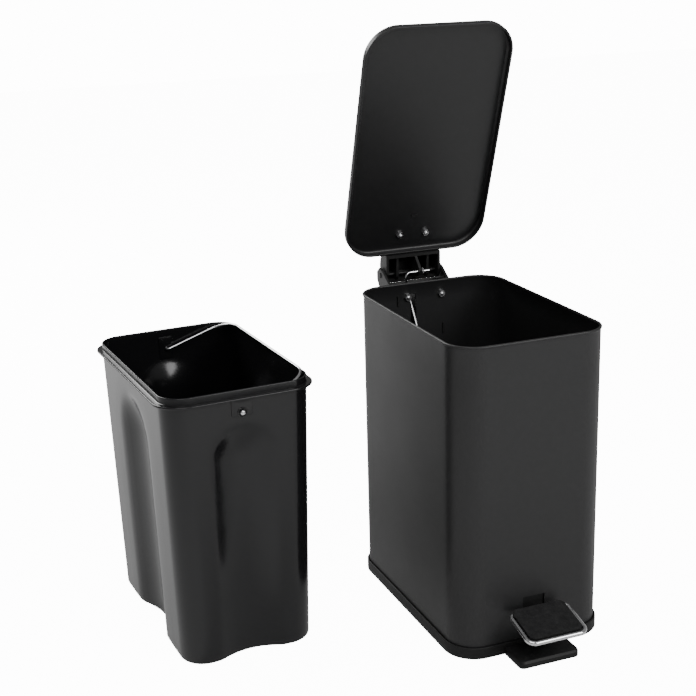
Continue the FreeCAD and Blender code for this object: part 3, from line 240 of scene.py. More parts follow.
def arc(centre, radius, start, end, steps):
    """Points of an arc in the plane, angles in degrees."""
    spots = []
    for step in range(steps + 1):
        angle = math.radians(start + (end - start) * step / steps)
        spots.append((centre[0] + radius * math.cos(angle), centre[1] + radius * math.sin(angle)))
    return spots


def ring_walls(profile, half_x, half_y, corner, middle=(0, 0)):
    """Rings that follow a rounded rectangle; the profile gives (growth, height) pairs."""
    return [outline(half_x + grow, half_y + grow, corner + grow, height, middle)
            for grow, height in profile]


def rounded_route(points, radii):
    """An open line through the points with an arc at each inner one."""
    points = [Vector(point) for point in points]
    route = [points[0]]
    for before, corner, after, radius in zip(points, points[1:], points[2:], radii):
        into, out = (corner - before).normalized(), (after - corner).normalized()
        turn = into.angle(out)
        back = radius * math.tan(turn / 2)
        axis = into.cross(out).normalized()
        enter = corner - into * back
        centre = enter + axis.cross(into) * radius
        for step in range(BEND_STEPS + 1):
            spin = Matrix.Rotation(turn * step / BEND_STEPS, 3, axis)
            route.append(centre + spin @ (enter - centre))
    route.append(points[-1])
    return route


def wire(route, radius):
    """A round wire along a route, with softly rounded ends."""
    tangents, spans = [], []
    for index in range(len(route)):
        before, after = route[max(index - 1, 0)], route[min(index + 1, len(route) - 1)]
        tangents.append((after - before).normalized())
    side = tangents[0].orthogonal().normalized()
    for tangent in tangents:
        side = (side - tangent * side.dot(tangent)).normalized()
        spans.append((side, tangent.cross(side)))

    def ring(index, share=1, inward=0):
        """The ring at one point of the route, made smaller and moved along it."""
        across, other = spans[index]
        centre = route[index] + tangents[index] * radius * inward
        return [centre + (across * math.cos(a) + other * math.sin(a)) * radius * share
                for a in (2 * math.pi * k / WIRE_SIDES for k in range(WIRE_SIDES))]

    def end(index, way):
        """The rings of one end, from its tip inwards."""
        tip = [ring(index, share, way * END_CURVE * (1 - math.sqrt(1 - share * share)))
               for share in END_SHARES]
        return tip + [ring(index, 1, way * END_DEPTH)]

    middle = [ring(index) for index in range(1, len(route) - 1)]
    return skin(end(0, 1) + middle + end(-1, -1)[::-1])


def turned(profile):
    """A turned form about Z from (radius, height) pairs."""
    angles = [2 * math.pi * k / TURNED_SIDES for k in range(TURNED_SIDES)]
    rings = [[Vector((radius * math.cos(a), radius * math.sin(a), height)) for a in angles]
             for radius, height in profile]
    return skin(rings)


def joined(*parts):
    """Several surfaces as one."""
    verts, faces = [], []
    for more_verts, more_faces in parts:
        shift = len(verts)
        verts += more_verts
        faces += [tuple(index + shift for index in face) for face in more_faces]
    return verts, faces


def moved(part, place):
    """A surface after a placement."""
    verts, faces = part
    return [place @ Vector(point) for point in verts], faces


def make_piece(name, part, finish, body, replaced, place=None):
    """A smooth-shaded object that rides on a body and stands for the frame's nodes."""
    verts, faces = part if place is None else moved(part, place)
    mesh = bpy.data.meshes.new(name)
    mesh.from_pydata([tuple(point) for point in verts], [], faces)
    mesh.validate()
    mesh.update()
    piece = bpy.data.objects.new(name, mesh)
    bpy.context.scene.collection.objects.link(piece)
    finish_mesh(piece)
    piece.data.materials.append(finish)
    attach(piece, body)
    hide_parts(*replaced)
    return piece


def finish_mesh(piece):
    """Shade a piece smooth, with its edges kept sharp."""
    mesh = piece.data
    mesh.polygons.foreach_set("use_smooth", [True] * len(mesh.polygons))
    mesh.set_sharp_from_angle(angle=SMOOTH_BELOW)
    mesh.update()


def carve(piece, cutters):
    """Cut blocks out of a piece."""
    for verts, faces in cutters:
        mesh = bpy.data.meshes.new("cutter")
        mesh.from_pydata([tuple(point) for point in verts], [], faces)
        tool = bpy.data.objects.new("cutter", mesh)
        bpy.context.scene.collection.objects.link(tool)
        step = piece.modifiers.new("cut", "BOOLEAN")
        step.operation = "DIFFERENCE"
        step.solver = "EXACT"
        step.object = tool
        solid = piece.evaluated_get(bpy.context.evaluated_depsgraph_get())
        cut = bpy.data.meshes.new_from_object(solid)
        piece.modifiers.clear()
        piece.data = cut
        bpy.data.objects.remove(tool)
    finish_mesh(piece)


def block(low, high):
    """A plain box, used as a cutter."""
    floor = [(low[0], low[1]), (high[0], low[1]), (high[0], high[1]), (low[0], high[1])]
    verts = [Vector((x, y, z)) for z in (low[2], high[2]) for x, y in floor]
    faces = [(3, 2, 1, 0), (4, 5, 6, 7), (0, 1, 5, 4), (1, 2, 6, 5), (2, 3, 7, 6), (3, 0, 4, 7)]
    return verts, faces


# Materials -----------------------------------------------------------------------------------------

def new_group(name, inputs, outputs):
    """An empty shader group with its named sockets."""
    group = bpy.data.node_groups.new(name, "ShaderNodeTree")
    for label, default in inputs:
        socket = group.interface.new_socket(name=label, in_out="INPUT", socket_type="NodeSocketFloat")
        socket.default_value = default
    for label, kind in outputs:
        group.interface.new_socket(name=label, in_out="OUTPUT", socket_type=kind)
    nodes, links = group.nodes, group.links
    return group, nodes, links, nodes.new("NodeGroupInput"), nodes.new("NodeGroupOutput")


def math_node(nodes, links, operation, *values):
    """One sum; each value is a number or another node's output."""
    node = nodes.new("ShaderNodeMath")
    node.operation = operation
    for socket, value in zip(node.inputs, values):
        if isinstance(value, (int, float)):
            socket.default_value = value
        else:
            links.new(value, socket)
    return node.outputs[0]


def grain_group():
    """Fine moulded or sprayed grain: a height and a soft blotch mask."""
    group, nodes, links, source, result = new_group(
        "fine_grain", [("Scale", 900), ("Blotch Scale", 14)],
        [("Height", "NodeSocketFloat"), ("Blotch", "NodeSocketFloat")])
    where = nodes.new("ShaderNodeTexCoord")
    fine = nodes.new("ShaderNodeTexNoise")
    fine.inputs["Detail"].default_value = 3
    blotch = nodes.new("ShaderNodeTexNoise")
    blotch.inputs["Detail"].default_value = 2
    for noise, label in ((fine, "Scale"), (blotch, "Blotch Scale")):
        links.new(where.outputs["Object"], noise.inputs["Vector"])
        links.new(source.outputs[label], noise.inputs["Scale"])
    links.new(fine.outputs["Fac"], result.inputs["Height"])
    links.new(blotch.outputs["Fac"], result.inputs["Blotch"])
    return group


def dust_group():
    """Fine dust that settles on faces that look up: a mask."""
    group, nodes, links, source, result = new_group(
        "settled_dust", [("Amount", 0.1), ("Scale", 160)], [("Mask", "NodeSocketFloat")])
    where = nodes.new("ShaderNodeTexCoord")
    facing = nodes.new("ShaderNodeNewGeometry")
    split = nodes.new("ShaderNodeSeparateXYZ")
    links.new(facing.outputs["Normal"], split.inputs[0])
    up = math_node(nodes, links, "MAXIMUM", split.outputs["Z"], 0.12)
    specks = nodes.new("ShaderNodeTexNoise")
    specks.inputs["Detail"].default_value = 6
    specks.inputs["Roughness"].default_value = 0.7
    links.new(where.outputs["Object"], specks.inputs["Vector"])
    links.new(source.outputs["Scale"], specks.inputs["Scale"])
    sharp = math_node(nodes, links, "POWER", specks.outputs["Fac"], 2.5)
    mask = math_node(nodes, links, "MULTIPLY", up, sharp)
    scaled = math_node(nodes, links, "MULTIPLY", mask, source.outputs["Amount"])
    links.new(scaled, result.inputs["Mask"])
    return group


def scuff_group():
    """Hair-thin scuffs along one direction: a mask."""
    group, nodes, links, source, result = new_group(
        "hair_scuffs", [("Along", 30), ("Across", 900), ("Threshold", 0.66)], [("Mask", "NodeSocketFloat")])
    where = nodes.new("ShaderNodeTexCoord")
    split = nodes.new("ShaderNodeSeparateXYZ")
    links.new(where.outputs["Object"], split.inputs[0])
    across_x = math_node(nodes, links, "MULTIPLY", split.outputs["X"], source.outputs["Across"])
    across_y = math_node(nodes, links, "MULTIPLY", split.outputs["Y"], source.outputs["Across"])
    along_z = math_node(nodes, links, "MULTIPLY", split.outputs["Z"], source.outputs["Along"])
    join = nodes.new("ShaderNodeCombineXYZ")
    for value, socket in zip((across_x, across_y, along_z), join.inputs):
        links.new(value, socket)
    noise = nodes.new("ShaderNodeTexNoise")
    noise.inputs["Scale"].default_value = 1
    noise.inputs["Detail"].default_value = 2
    links.new(join.outputs[0], noise.inputs["Vector"])
    over = math_node(nodes, links, "SUBTRACT", noise.outputs["Fac"], source.outputs["Threshold"])
    mask = math_node(nodes, links, "MULTIPLY", over, 9)
    kept = nodes.new("ShaderNodeClamp")
    links.new(mask, kept.inputs[0])
    links.new(kept.outputs[0], result.inputs["Mask"])
    return group


GROUP_MAKERS = {"fine_grain": grain_group, "settled_dust": dust_group, "hair_scuffs": scuff_group}


def place_group(nodes, name, **values):
    """One use of a shader group, with its inputs set."""
    group = bpy.data.node_groups.get(name) or GROUP_MAKERS[name]()
    node = nodes.new("ShaderNodeGroup")
    node.node_tree = group
    for label, value in values.items():
        node.inputs[label.replace("_", " ")].default_value = value
    return node


def mix_colour(nodes, links, factor, first, second):
    """Two colours mixed by a mask; each is a setting or another node's output."""
    node = nodes.new("ShaderNodeMix")
    node.data_type = "RGBA"
    links.new(factor, node.inputs["Factor"])
    for socket, value in ((node.inputs[6], first), (node.inputs[7], second)):
        if hasattr(value, "links"):
            links.new(value, socket)
        else:
            socket.default_value = (*value, 1)
    return node.outputs[2]


def spread(nodes, links, value, low, high):
    """Map 0..1 on to a range."""
    node = nodes.new("ShaderNodeMapRange")
    node.inputs["To Min"].default_value = low
    node.inputs["To Max"].default_value = high
    links.new(value, node.inputs["Value"])
    return node.outputs[0]


def bumped(nodes, links, height, strength, distance, under=None, invert=False):
    """A normal from a height, over another normal where there is one."""
    bump = nodes.new("ShaderNodeBump")
    bump.invert = invert
    bump.inputs["Strength"].default_value = strength
    bump.inputs["Distance"].default_value = distance
    links.new(height, bump.inputs["Height"])
    if under:
        links.new(under, bump.inputs["Normal"])
    return bump.outputs["Normal"]


def coated(name, colour, rough, grain, grain_scale, grain_depth, dusting=1.0, scuffs=0.0, blotch=0.10,
           specular=0.5):
    """A painted or moulded finish: grain in the height, blotches in the gloss, dust and scuffs."""
    material = bpy.data.materials.new(name)
    material.use_nodes = True
    nodes, links = material.node_tree.nodes, material.node_tree.links
    shader = nodes["Principled BSDF"]
    finish = bpy.context.scene.bin_finish
    colour = tuple(getattr(finish, colour))
    texture = place_group(nodes, "fine_grain", Scale=grain_scale, Blotch_Scale=14)
    dust = place_group(nodes, "settled_dust", Amount=finish.dusting * dusting * 10, Scale=170)
    tone = tuple(min(channel * (1 + blotch * 2), 1) for channel in colour)
    base = mix_colour(nodes, links, texture.outputs["Blotch"], colour, tone)
    base = mix_colour(nodes, links, dust.outputs["Mask"], base, tuple(finish.dust))
    gloss = spread(nodes, links, texture.outputs["Blotch"], rough * (1 - blotch), rough * (1 + blotch))
    gloss = math_node(nodes, links, "ADD", gloss, dust.outputs["Mask"])
    if scuffs:
        marks = place_group(nodes, "hair_scuffs")
        worn = math_node(nodes, links, "MULTIPLY", marks.outputs["Mask"], scuffs)
        gloss = math_node(nodes, links, "ADD", gloss, worn)
    links.new(base, shader.inputs["Base Color"])
    links.new(gloss, shader.inputs["Roughness"])
    shader.inputs["Specular IOR Level"].default_value = specular
    links.new(bumped(nodes, links, texture.outputs["Height"], grain, grain_depth), shader.inputs["Normal"])
    return material


def tread_rubber(**coating):
    """Pebbled rubber: rounded cells over fine grain."""
    material = coated(**coating)
    nodes, links = material.node_tree.nodes, material.node_tree.links
    normal = nodes["Principled BSDF"].inputs["Normal"]
    where = nodes.new("ShaderNodeTexCoord")
    cells = nodes.new("ShaderNodeTexVoronoi")
    cells.feature = "SMOOTH_F1"
    cells.inputs["Scale"].default_value = 620
    links.new(where.outputs["Object"], cells.inputs["Vector"])
    fine = normal.links[0].from_socket
    links.new(bumped(nodes, links, cells.outputs["Distance"], 0.7, 0.0005, fine, invert=True), normal)
    return material


def bright_metal(name, rough, scale):
    """Plated steel with a faint fine grain and uneven gloss."""
    finish = bpy.context.scene.bin_finish
    material = bpy.data.materials.new(name)
    material.use_nodes = True
    nodes, links = material.node_tree.nodes, material.node_tree.links
    shader = nodes["Principled BSDF"]
    texture = place_group(nodes, "fine_grain", Scale=scale, Blotch_Scale=60)
    base = mix_colour(nodes, links, texture.outputs["Blotch"], tuple(finish.bright),
                      tuple(channel * 0.86 for channel in finish.bright))
    links.new(base, shader.inputs["Base Color"])
    links.new(spread(nodes, links, texture.outputs["Blotch"], rough * 0.7, rough * 1.5),
              shader.inputs["Roughness"])
    shader.inputs["Metallic"].default_value = 1
    links.new(bumped(nodes, links, texture.outputs["Height"], 0.08, 0.0001), shader.inputs["Normal"])
    return material


# Each coating's colour in the settings, its roughness, and its grain's strength, scale and depth.
COATINGS = {
    "can": dict(name="can_powder_coat", colour="paint", rough=0.42, grain=0.35, grain_scale=1500,
                grain_depth=0.00012, scuffs=0.05),
    "lid": dict(name="lid_satin_coat", colour="lid_paint", rough=0.38, grain=0.25, grain_scale=1500,
                grain_depth=0.00010, dusting=0.6),
    "base": dict(name="base_moulding", colour="moulding", rough=0.5, grain=0.5, grain_scale=1100,
                 grain_depth=0.00018, dusting=0.6, specular=0.3),
    "hinge": dict(name="hinge_moulding", colour="moulding", rough=0.45, grain=0.4, grain_scale=1200,
                  grain_depth=0.00015, dusting=0.6),
    "bucket": dict(name="bucket_gloss", colour="gloss", rough=0.18, grain=0.12, grain_scale=90,
                   grain_depth=0.0004, dusting=0.3, blotch=0.25, specular=0.48),
    "lever": dict(name="lever_black", colour="moulding", rough=0.4, grain=0.2, grain_scale=1300,
                  grain_depth=0.0001, dusting=0.6, specular=0.35),
    "foot": dict(name="foot_rubber", colour="rubber", rough=0.75, grain=0.5, grain_scale=700,
                 grain_depth=0.0002),
    "tread": dict(name="tread_rubber", colour="rubber", rough=0.55, grain=0.4, grain_scale=1400,
                  grain_depth=0.0001, dusting=0.8, specular=0.3),
}
# Each plated metal's name, roughness and texture scale.
METALS = {
    "wire": ("bright_wire", 0.10, 500),
    "fastener": ("bright_fastener", 0.32, 800),
    "zinc": ("zinc_pressing", 0.38, 300),
}
MATERIALS = {}


def material(name):
    """Each finish, made once."""
    if name not in MATERIALS:
        if name in METALS:
            MATERIALS[name] = bright_metal(*METALS[name])
        else:
            maker = tread_rubber if name == "tread" else coated
            MATERIALS[name] = maker(**COATINGS[name])
    return MATERIALS[name]


def dress(finish, *nodes):
    """Give frame nodes that stay their finish."""
    for node in nodes:
        slots = NODES[node].data.materials
        slots.clear()
        slots.append(material(finish))


# Pieces --------------------------------------------------------------------------------------------

def can_halves():
    """Half width and half depth of the can's sheet, from the frame."""
    shell = bpy.context.scene.bin_shell
    size = size_of("can_body")
    proud = shell.bead - shell.steel / 2
    return size.x / 2 - proud, size.y / 2 - proud


class BIN_OT_can(Operator):
    """Steel can with its rolled rim, rear slot and pedal opening"""
    bl_idname = "bin.can"
    bl_label = "Steel can"

    def execute(self, context):
        shell = context.scene.bin_shell
        half_x, half_y = can_halves()
        low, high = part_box("can_body")
        foot, bead_z = low[2], high[2] - shell.bead
        steps, fold = 10, 0.0012
        outer_low, outer_run = foot + fold, bead_z - 0.004 - foot
        inner, inner_top, inner_run = -shell.steel, bead_z - 0.02, bead_z - 0.03 - foot
        profile = [(-shell.flange, foot), (-0.003, foot), (-0.0008, foot + 0.0003), (0, outer_low)]
        profile += [(0, outer_low + outer_run * k / steps) for k in range(1, steps + 1)]
        profile += arc((-shell.steel / 2, bead_z), shell.bead, -62, 200, 14)
        profile += [(inner, bead_z - 0.0022), (inner, inner_top)]
        profile += [(inner, inner_top - inner_run * k / steps) for k in range(1, steps + 1)]
        profile += [(inner, foot + shell.steel), (-shell.flange, foot + shell.steel)]
        rings = ring_walls(profile, half_x, half_y, shell.corner)
        piece = make_piece("can_wall", skin(rings, closed=True), material("can"), "can", ["can_body"])
        carve(piece, self.openings(shell, half_y))
        return {"FINISHED"}

    def openings(self, shell, half_y):
        """Cutters for the rod's slot at the rear and the lever's opening at the front."""
        past = 0.005
        slot_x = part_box("lift_rod")[0][0] + shell.rod
        slot_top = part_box("hinge_nuts")[1][2]
        lever_half = size_of("pedal_lever").x / 2
        return [
            block((slot_x - shell.slot_half, half_y - past, shell.slot_low),
                  (slot_x + shell.slot_half, half_y + past, slot_top)),
            block((-lever_half, -half_y - past, shell.port_low),
                  (lever_half, -half_y + past, shell.port_high)),
        ]


class BIN_OT_base(Operator):
    """Moulded base ring and floor with the foot tongue"""
    bl_idname = "bin.base"
    bl_label = "Base"

    def execute(self, context):
        shell = context.scene.bin_shell
        half_x, half_y = can_halves()
        lap, high = shell.base_lap, shell.base_high
        edge, foot_edge, gap, ledge = 0.0009, 0.0012, 0.0001, 0.006
        profile = [(lap - foot_edge, 0), (lap, foot_edge), (lap, high - edge)]
        profile += arc((lap - edge, high - edge), edge, 0, 90, 5)[1:]
        profile += [(lap - 0.0015, high), (0.0004, high - 0.0008), (gap, high - 0.0016), (gap, ledge),
                    (-0.012, ledge), (-0.0125, ledge - 0.0005), (-0.0125, 0.0042), (-0.014, 0.004)]
        ring = skin(ring_walls(profile, half_x, half_y, shell.corner))
        make_piece("base_moulding", joined(ring, self.tongue(shell, half_y)), material("base"), "can",
                   ["base_tray"])
        dress("foot", "rubber_feet")
        dress("fastener", "base_screws")
        return {"FINISHED"}

    def tongue(self, shell, half_y):
        """The tongue: flat, with round front corners and a bevelled front edge."""
        front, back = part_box("base_tray")[0][1], -half_y - 0.0012
        half, thick, corner, bevel, soft = shell.tongue_wide / 2, shell.tongue_thick, 0.006, 0.002, 0.0008
        side_share, arc_steps = 0.4, 12

        def level(inset, height):
            side, radius = half - inset * side_share, corner - inset
            centre_y = front + inset + radius
            points = [(-side, back)]
            points += arc((-side + radius, centre_y), radius, 180, 270, arc_steps)
            points += arc((side - radius, centre_y), radius, 270, 360, arc_steps)
            points += [(side, back)]
            return [Vector((x, y, height)) for x, y in points]

        return skin([
            level(soft, 0), level(0, soft), level(0, thick - bevel - soft / 2),
            level(soft * 0.4, thick - bevel), level(bevel - soft * 0.3, thick - soft * 0.3),
            level(bevel + soft, thick)])


class BIN_OT_lid(Operator):
    """Pressed lid with its skirt and hem"""
    bl_idname = "bin.lid"
    bl_label = "Lid"

    def execute(self, context):
        shell = context.scene.bin_shell
        half_x = size_of("lid_panel").x / 2
        half_y = shell.lid_long / 2
        middle = (0, -shell.lid_ahead - half_y)
        top, low = shell.lid_deep - shell.lid_drop, -shell.lid_drop
        edge, steel = shell.lid_round, shell.steel
        tip, hem_round = 0.0007, 0.0006
        hem_edge = hem_round - shell.hem
        flats = (-0.05, -0.02, -edge - 0.004)
        profile = [(x, top) for x in flats]
        profile += reversed(arc((-edge, top - edge), edge, 0, 90, 10))
        profile += [(0, low + 0.004), (0, low + 0.0008)]
        profile += arc((-tip, low + tip), tip, 0, -90, 5)[1:]
        profile += [(hem_edge, low)]
        profile += arc((hem_edge, low + hem_round), hem_round, -90, -270, 6)[1:]
        profile += [(-steel - 0.0002, low + 0.0013), (-steel, low + 0.0018), (-steel, top - edge)]
        profile += arc((-edge, top - edge), edge - steel, 0, 90, 8)[1:]
        profile += [(x, top - steel) for x in reversed(flats)]
        rings = ring_walls(profile, half_x, half_y, shell.lid_corner, middle)
        make_piece("lid_pressing", skin(rings), material("lid"), "lid", ["lid_panel"],
                   lid_place())
        return {"FINISHED"}


class BIN_OT_hinge(Operator):
    """Both hinge brackets, the pin and the fasteners"""
    bl_idname = "bin.hinge"
    bl_label = "Hinge"

    def execute(self, context):
        dress("hinge", "hinge_body_bracket", "hinge_lid_bracket")
        dress("lever", "hinge_pin")
        dress("fastener", "hinge_bolts", "hinge_nuts", "lid_bolts", "lid_nuts", "rod_push_nut")
        dress("wire", "lift_rod")
        return {"FINISHED"}


class BIN_OT_pedal(Operator):
    """Tread, wire loop and the lever under the bucket"""
    bl_idname = "bin.pedal"
    bl_label = "Pedal"

    def execute(self, context):
        dress("tread", "pedal_pad")
        dress("wire", "pedal_wire")
        dress("lever", "pedal_lever", "pedal_plate")
        dress("fastener", "pedal_rivets", "stand_screws", "lever_pin")
        dress("zinc", "lever_stand")
        return {"FINISHED"}


class BIN_OT_bucket(Operator):
    """Inner bucket: tapered walls with arched channels, brim and lip"""
    bl_idname = "bin.bucket"
    bl_label = "Bucket"

    def execute(self, context):
        sizes = context.scene.bin_bucket
        wall, tall = sizes.wall, sizes.tall
        brim_top = tall - sizes.lip
        brim_low = brim_top - sizes.brim_thick
        foot, floor_run = sizes.foot_round, 0.006
        outer = [(-foot - floor_run, 0.0), (-foot, 0.0)]
        outer += [(-foot + x, z) for x, z in arc((0, foot), foot, -90, 0, 6)[1:]]
        steps, edge, lip = 64, 0.0011, wall / 2
        outer += [(0, foot + (brim_low - foot) * k / steps) for k in range(1, steps + 1)]
        outer += [(sizes.brim - edge, brim_low)]
        outer += arc((sizes.brim - edge, brim_low + edge), edge, -90, 0, 4)[1:]
        outer += arc((sizes.brim - edge, brim_top - edge), edge, 0, 90, 4)
        outer += [(0.0008, brim_top), (0.0002, brim_top + 0.0004), (0, brim_top + 0.001)]
        outer += arc((-lip, tall - lip), lip, 0, 180, 8)
        inner = [(-wall, brim_top)]
        inner += [(-wall, brim_top - (brim_top - foot - wall) * k / steps) for k in range(1, steps + 1)]
        inner += [(-wall - foot + x, wall + z) for x, z in arc((0, foot), foot, 0, -90, 6)[1:]]
        inner += [(-wall - foot - floor_run, wall)]
        rings = [self.ring(sizes, grow, height) for grow, height in outer + inner]
        make_piece("bucket_moulding", joined(skin(rings), *self.bosses(sizes)), material("bucket"),
                   "bucket", ["bucket_shell"], bucket_place())
        return {"FINISHED"}

    def ring(self, sizes, grow, height):
        """One level of the bucket's wall, with its channels pressed in."""
        down = 1 - height / sizes.tall
        half_x = sizes.half_x - sizes.taper_x * down
        half_y = sizes.half_y - sizes.taper_y * down
        corner = sizes.corner + (sizes.foot_corner - sizes.corner) * down
        points = outline(half_x + grow, half_y + grow, corner + grow, height)
        for point in points:
            side = self.channel(point.y, height, sizes.side_half, sizes.side_deep, sizes.side_top)
            end = self.channel(point.x, height, sizes.end_half, sizes.end_deep, sizes.end_top)
            if abs(point.x) > half_x - 0.02 and abs(point.y) < half_y - corner:
                point.x -= math.copysign(side, point.x)
            if abs(point.y) > half_y - 0.02 and abs(point.x) < half_x - corner * 0.8:
                point.y -= math.copysign(end, point.y)
        return points

    def channel(self, across, height, half, deep, top):
        """Depth of a channel with a round section and an arched top."""
        rise = max(height - (top - half), 0)
        reach = (across * across + rise * rise) / (half * half)
        soft, edge = 0.2, 2.2
        inside = 1 - reach
        return deep * 0.5 * (inside + math.sqrt(inside * inside + soft * soft)) if reach < edge else 0

    def bosses(self, sizes):
        """Raised pads at the two ends that carry the bail."""
        pads = []
        pivot = JOINTS["bail_swing"]["pos_m"][2]
        half, tall, thick, corner = 0.011, 0.009, 0.0012, 0.0015
        back_half, back_tall, back_drop = 0.008, 0.013, 0.004
        middle_z = sizes.tall - sizes.lip - sizes.brim_thick - tall + 0.0006
        face = sizes.half_y - sizes.taper_y * (1 - middle_z / sizes.tall)
        levels = [(0, -0.0006), (0, thick * 0.5), (0.0003, thick * 0.85), (0.0009, thick)]
        pad, back = (skin([outline(wide - inset, high - inset, corner, depth) for inset, depth in levels])
                     for wide, high in ((half, tall), (back_half, back_tall)))
        collar = turned([(0.0035, 0.0008), (0.0052, 0.0008), (0.0052, 0.0018), (0.0049, 0.0021),
                         (0.0043, 0.0021), (0.0039, 0.0018), (0.0035, 0.0010)])
        for side in (-1, 1):
            outward = Matrix.Rotation(-side * math.pi / 2, 4, "X")
            inward = Matrix.Rotation(side * math.pi / 2, 4, "X")
            pads.append(moved(pad, Matrix.Translation((0, side * face, middle_z)) @ outward))
            pads.append(moved(collar, Matrix.Translation((0, side * face, pivot)) @ outward))
            spot = (0, side * (face - sizes.wall), middle_z - back_drop)
            pads.append(moved(back, Matrix.Translation(spot) @ inward))
        return pads


class BIN_OT_bail(Operator):
    """Wire bail laid over against the lip, with its caps"""
    bl_idname = "bin.bail"
    bl_label = "Bail"

    def execute(self, context):
        sizes = context.scene.bin_bucket
        reach, leg = sizes.bail_reach, sizes.half_y - sizes.bail_inset
        out = sizes.half_y + sizes.bail_out
        corners = [(0, -out, 0), (0, -leg, 0), (reach, -leg, 0), (reach, leg, 0), (0, leg, 0), (0, out, 0)]
        bends = [sizes.bail_bend, sizes.bail_corner, sizes.bail_corner, sizes.bail_bend]
        loop = wire(rounded_route(corners, bends), sizes.wire)
        spot = bucket_place()
        spot.translation.z = JOINTS["bail_swing"]["pos_m"][2]
        place = spot @ Matrix.Rotation(-sizes.bail_lean, 4, "Y")
        make_piece("bail", loop, material("wire"), "bail", ["bail_wire"], place)
        head = turned([(0.0006, 0.0017), (0.0016, 0.0015), (0.0024, 0.0009), (0.0027, 0.0003), (0.0027, 0)])
        seat = out - 0.0002
        caps = [moved(head, Matrix.Translation((0, side * seat, 0))
                      @ Matrix.Rotation(-side * math.pi / 2, 4, "X")) for side in (-1, 1)]
        make_piece("bail_end_caps", joined(*caps), material("fastener"), "bail", ["bail_caps"],
                   place)
        return {"FINISHED"}


# Soft lights: name, place, the point that each faces, its side and its power in watts.
LAMPS = (
    ("rear_left", (-1.0, 1.9, 1.5), (-0.5, 0.9, 0), 1.2, 42),
    ("front_right", (1.0, -1.9, 1.5), (0.35, -0.8, 0), 1.2, 30),
    ("over_front", (-0.7, -1.3, 2.3), (-0.1, 0, 0.25), 1.5, 20),
)


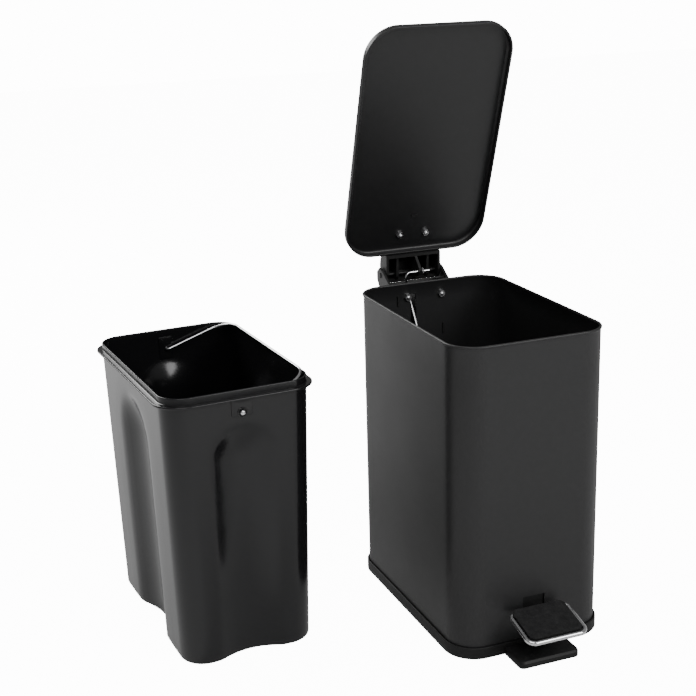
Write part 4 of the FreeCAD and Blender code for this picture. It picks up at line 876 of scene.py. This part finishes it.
class BIN_OT_stage(Operator):
    """Floor, soft lights and camera"""
    bl_idname = "bin.stage"
    bl_label = "Stage"

    def execute(self, context):
        stage = context.scene.bin_stage
        self.floor(stage)
        self.lights(stage)
        self.camera(stage)
        return {"FINISHED"}

    def floor(self, stage):
        mesh = bpy.data.meshes.new("floor")
        half = 6
        corners = [(-half, -half, 0), (half, -half, 0), (half, half, 0), (-half, half, 0)]
        mesh.from_pydata(corners, [], [(0, 1, 2, 3)])
        floor = bpy.data.objects.new("floor", mesh)
        bpy.context.scene.collection.objects.link(floor)
        paper = bpy.data.materials.new("paper")
        paper.use_nodes = True
        shader = paper.node_tree.nodes["Principled BSDF"]
        shader.inputs["Base Color"].default_value = (*stage.floor, 1)
        shader.inputs["Roughness"].default_value = 0.9
        nodes, links = paper.node_tree.nodes, paper.node_tree.links
        rays = nodes.new("ShaderNodeLightPath")
        glow = math_node(nodes, links, "MULTIPLY", rays.outputs["Is Camera Ray"], stage.floor_glow)
        shader.inputs["Emission Color"].default_value = (1, 1, 1, 1)
        links.new(glow, shader.inputs["Emission Strength"])
        mesh.materials.append(paper)

    def lights(self, stage):
        world = bpy.data.worlds.new("studio")
        world.use_nodes = True
        nodes, links = world.node_tree.nodes, world.node_tree.links
        backdrop = nodes["Background"]
        backdrop.inputs["Color"].default_value = (1, 1, 1, 1)
        rays = nodes.new("ShaderNodeLightPath")
        extra = math_node(nodes, links, "MULTIPLY", rays.outputs["Is Camera Ray"], stage.backdrop - stage.sky)
        links.new(math_node(nodes, links, "ADD", extra, stage.sky), backdrop.inputs["Strength"])
        bpy.context.scene.world = world
        for name, spot, aim, size, power in LAMPS:
            light = bpy.data.lights.new(name, "AREA")
            light.shape = "SQUARE"
            light.size = size
            light.energy = power
            lamp = bpy.data.objects.new(name, light)
            lamp.location = spot
            lamp.rotation_euler = (Vector(aim) - Vector(spot)).to_track_quat("-Z", "Y").to_euler()
            bpy.context.scene.collection.objects.link(lamp)

    def camera(self, stage):
        turn, rise, roll = stage.azimuth, stage.elevation, stage.roll
        back = Vector((math.sin(turn) * math.cos(rise), -math.cos(turn) * math.cos(rise), math.sin(rise)))
        level = Vector((math.cos(turn), math.sin(turn), 0))
        upright = back.cross(level)
        right = level * math.cos(roll) + upright * math.sin(roll)
        up = upright * math.cos(roll) - level * math.sin(roll)
        spot = Vector((0, 0, stage.aim_up)) + back * stage.distance
        spot += up * stage.aim_over - right * stage.aim_left
        lens = bpy.data.cameras.new("camera")
        lens.lens = stage.lens
        lens.sensor_width = 36
        camera = bpy.data.objects.new("camera", lens)
        camera.matrix_world = Matrix((
            (right.x, up.x, back.x, spot.x), (right.y, up.y, back.y, spot.y),
            (right.z, up.z, back.z, spot.z), (0, 0, 0, 1)))
        bpy.context.scene.collection.objects.link(camera)
        bpy.context.scene.camera = camera


OPERATORS = [BIN_OT_stage, BIN_OT_can, BIN_OT_base, BIN_OT_lid, BIN_OT_hinge, BIN_OT_pedal, BIN_OT_bucket,
             BIN_OT_bail]


class BIN_PT_panel(Panel):
    """Lists the pieces"""
    bl_idname = "BIN_PT_panel"
    bl_label = "Pedal bin"
    bl_space_type = "VIEW_3D"
    bl_region_type = "UI"
    bl_category = "Bin"

    def draw(self, context):
        for operator in OPERATORS:
            self.layout.operator(operator.bl_idname)
        for name in SETTINGS:
            column = self.layout.column()
            for prop in getattr(context.scene, name).__annotations__:
                column.prop(getattr(context.scene, name), prop)


def register():
    for name, group in SETTINGS.items():
        bpy.utils.register_class(group)
        setattr(bpy.types.Scene, name, PointerProperty(type=group))
    for thing in OPERATORS + [BIN_PT_panel]:
        bpy.utils.register_class(thing)


def unregister():
    for thing in reversed(OPERATORS + [BIN_PT_panel]):
        bpy.utils.unregister_class(thing)
    for name, group in SETTINGS.items():
        delattr(bpy.types.Scene, name)
        bpy.utils.unregister_class(group)


def main():
    register()
    for operator in OPERATORS:
        category, name = operator.bl_idname.split(".")
        getattr(getattr(bpy.ops, category), name)()


if __name__ == "__main__":
    main()
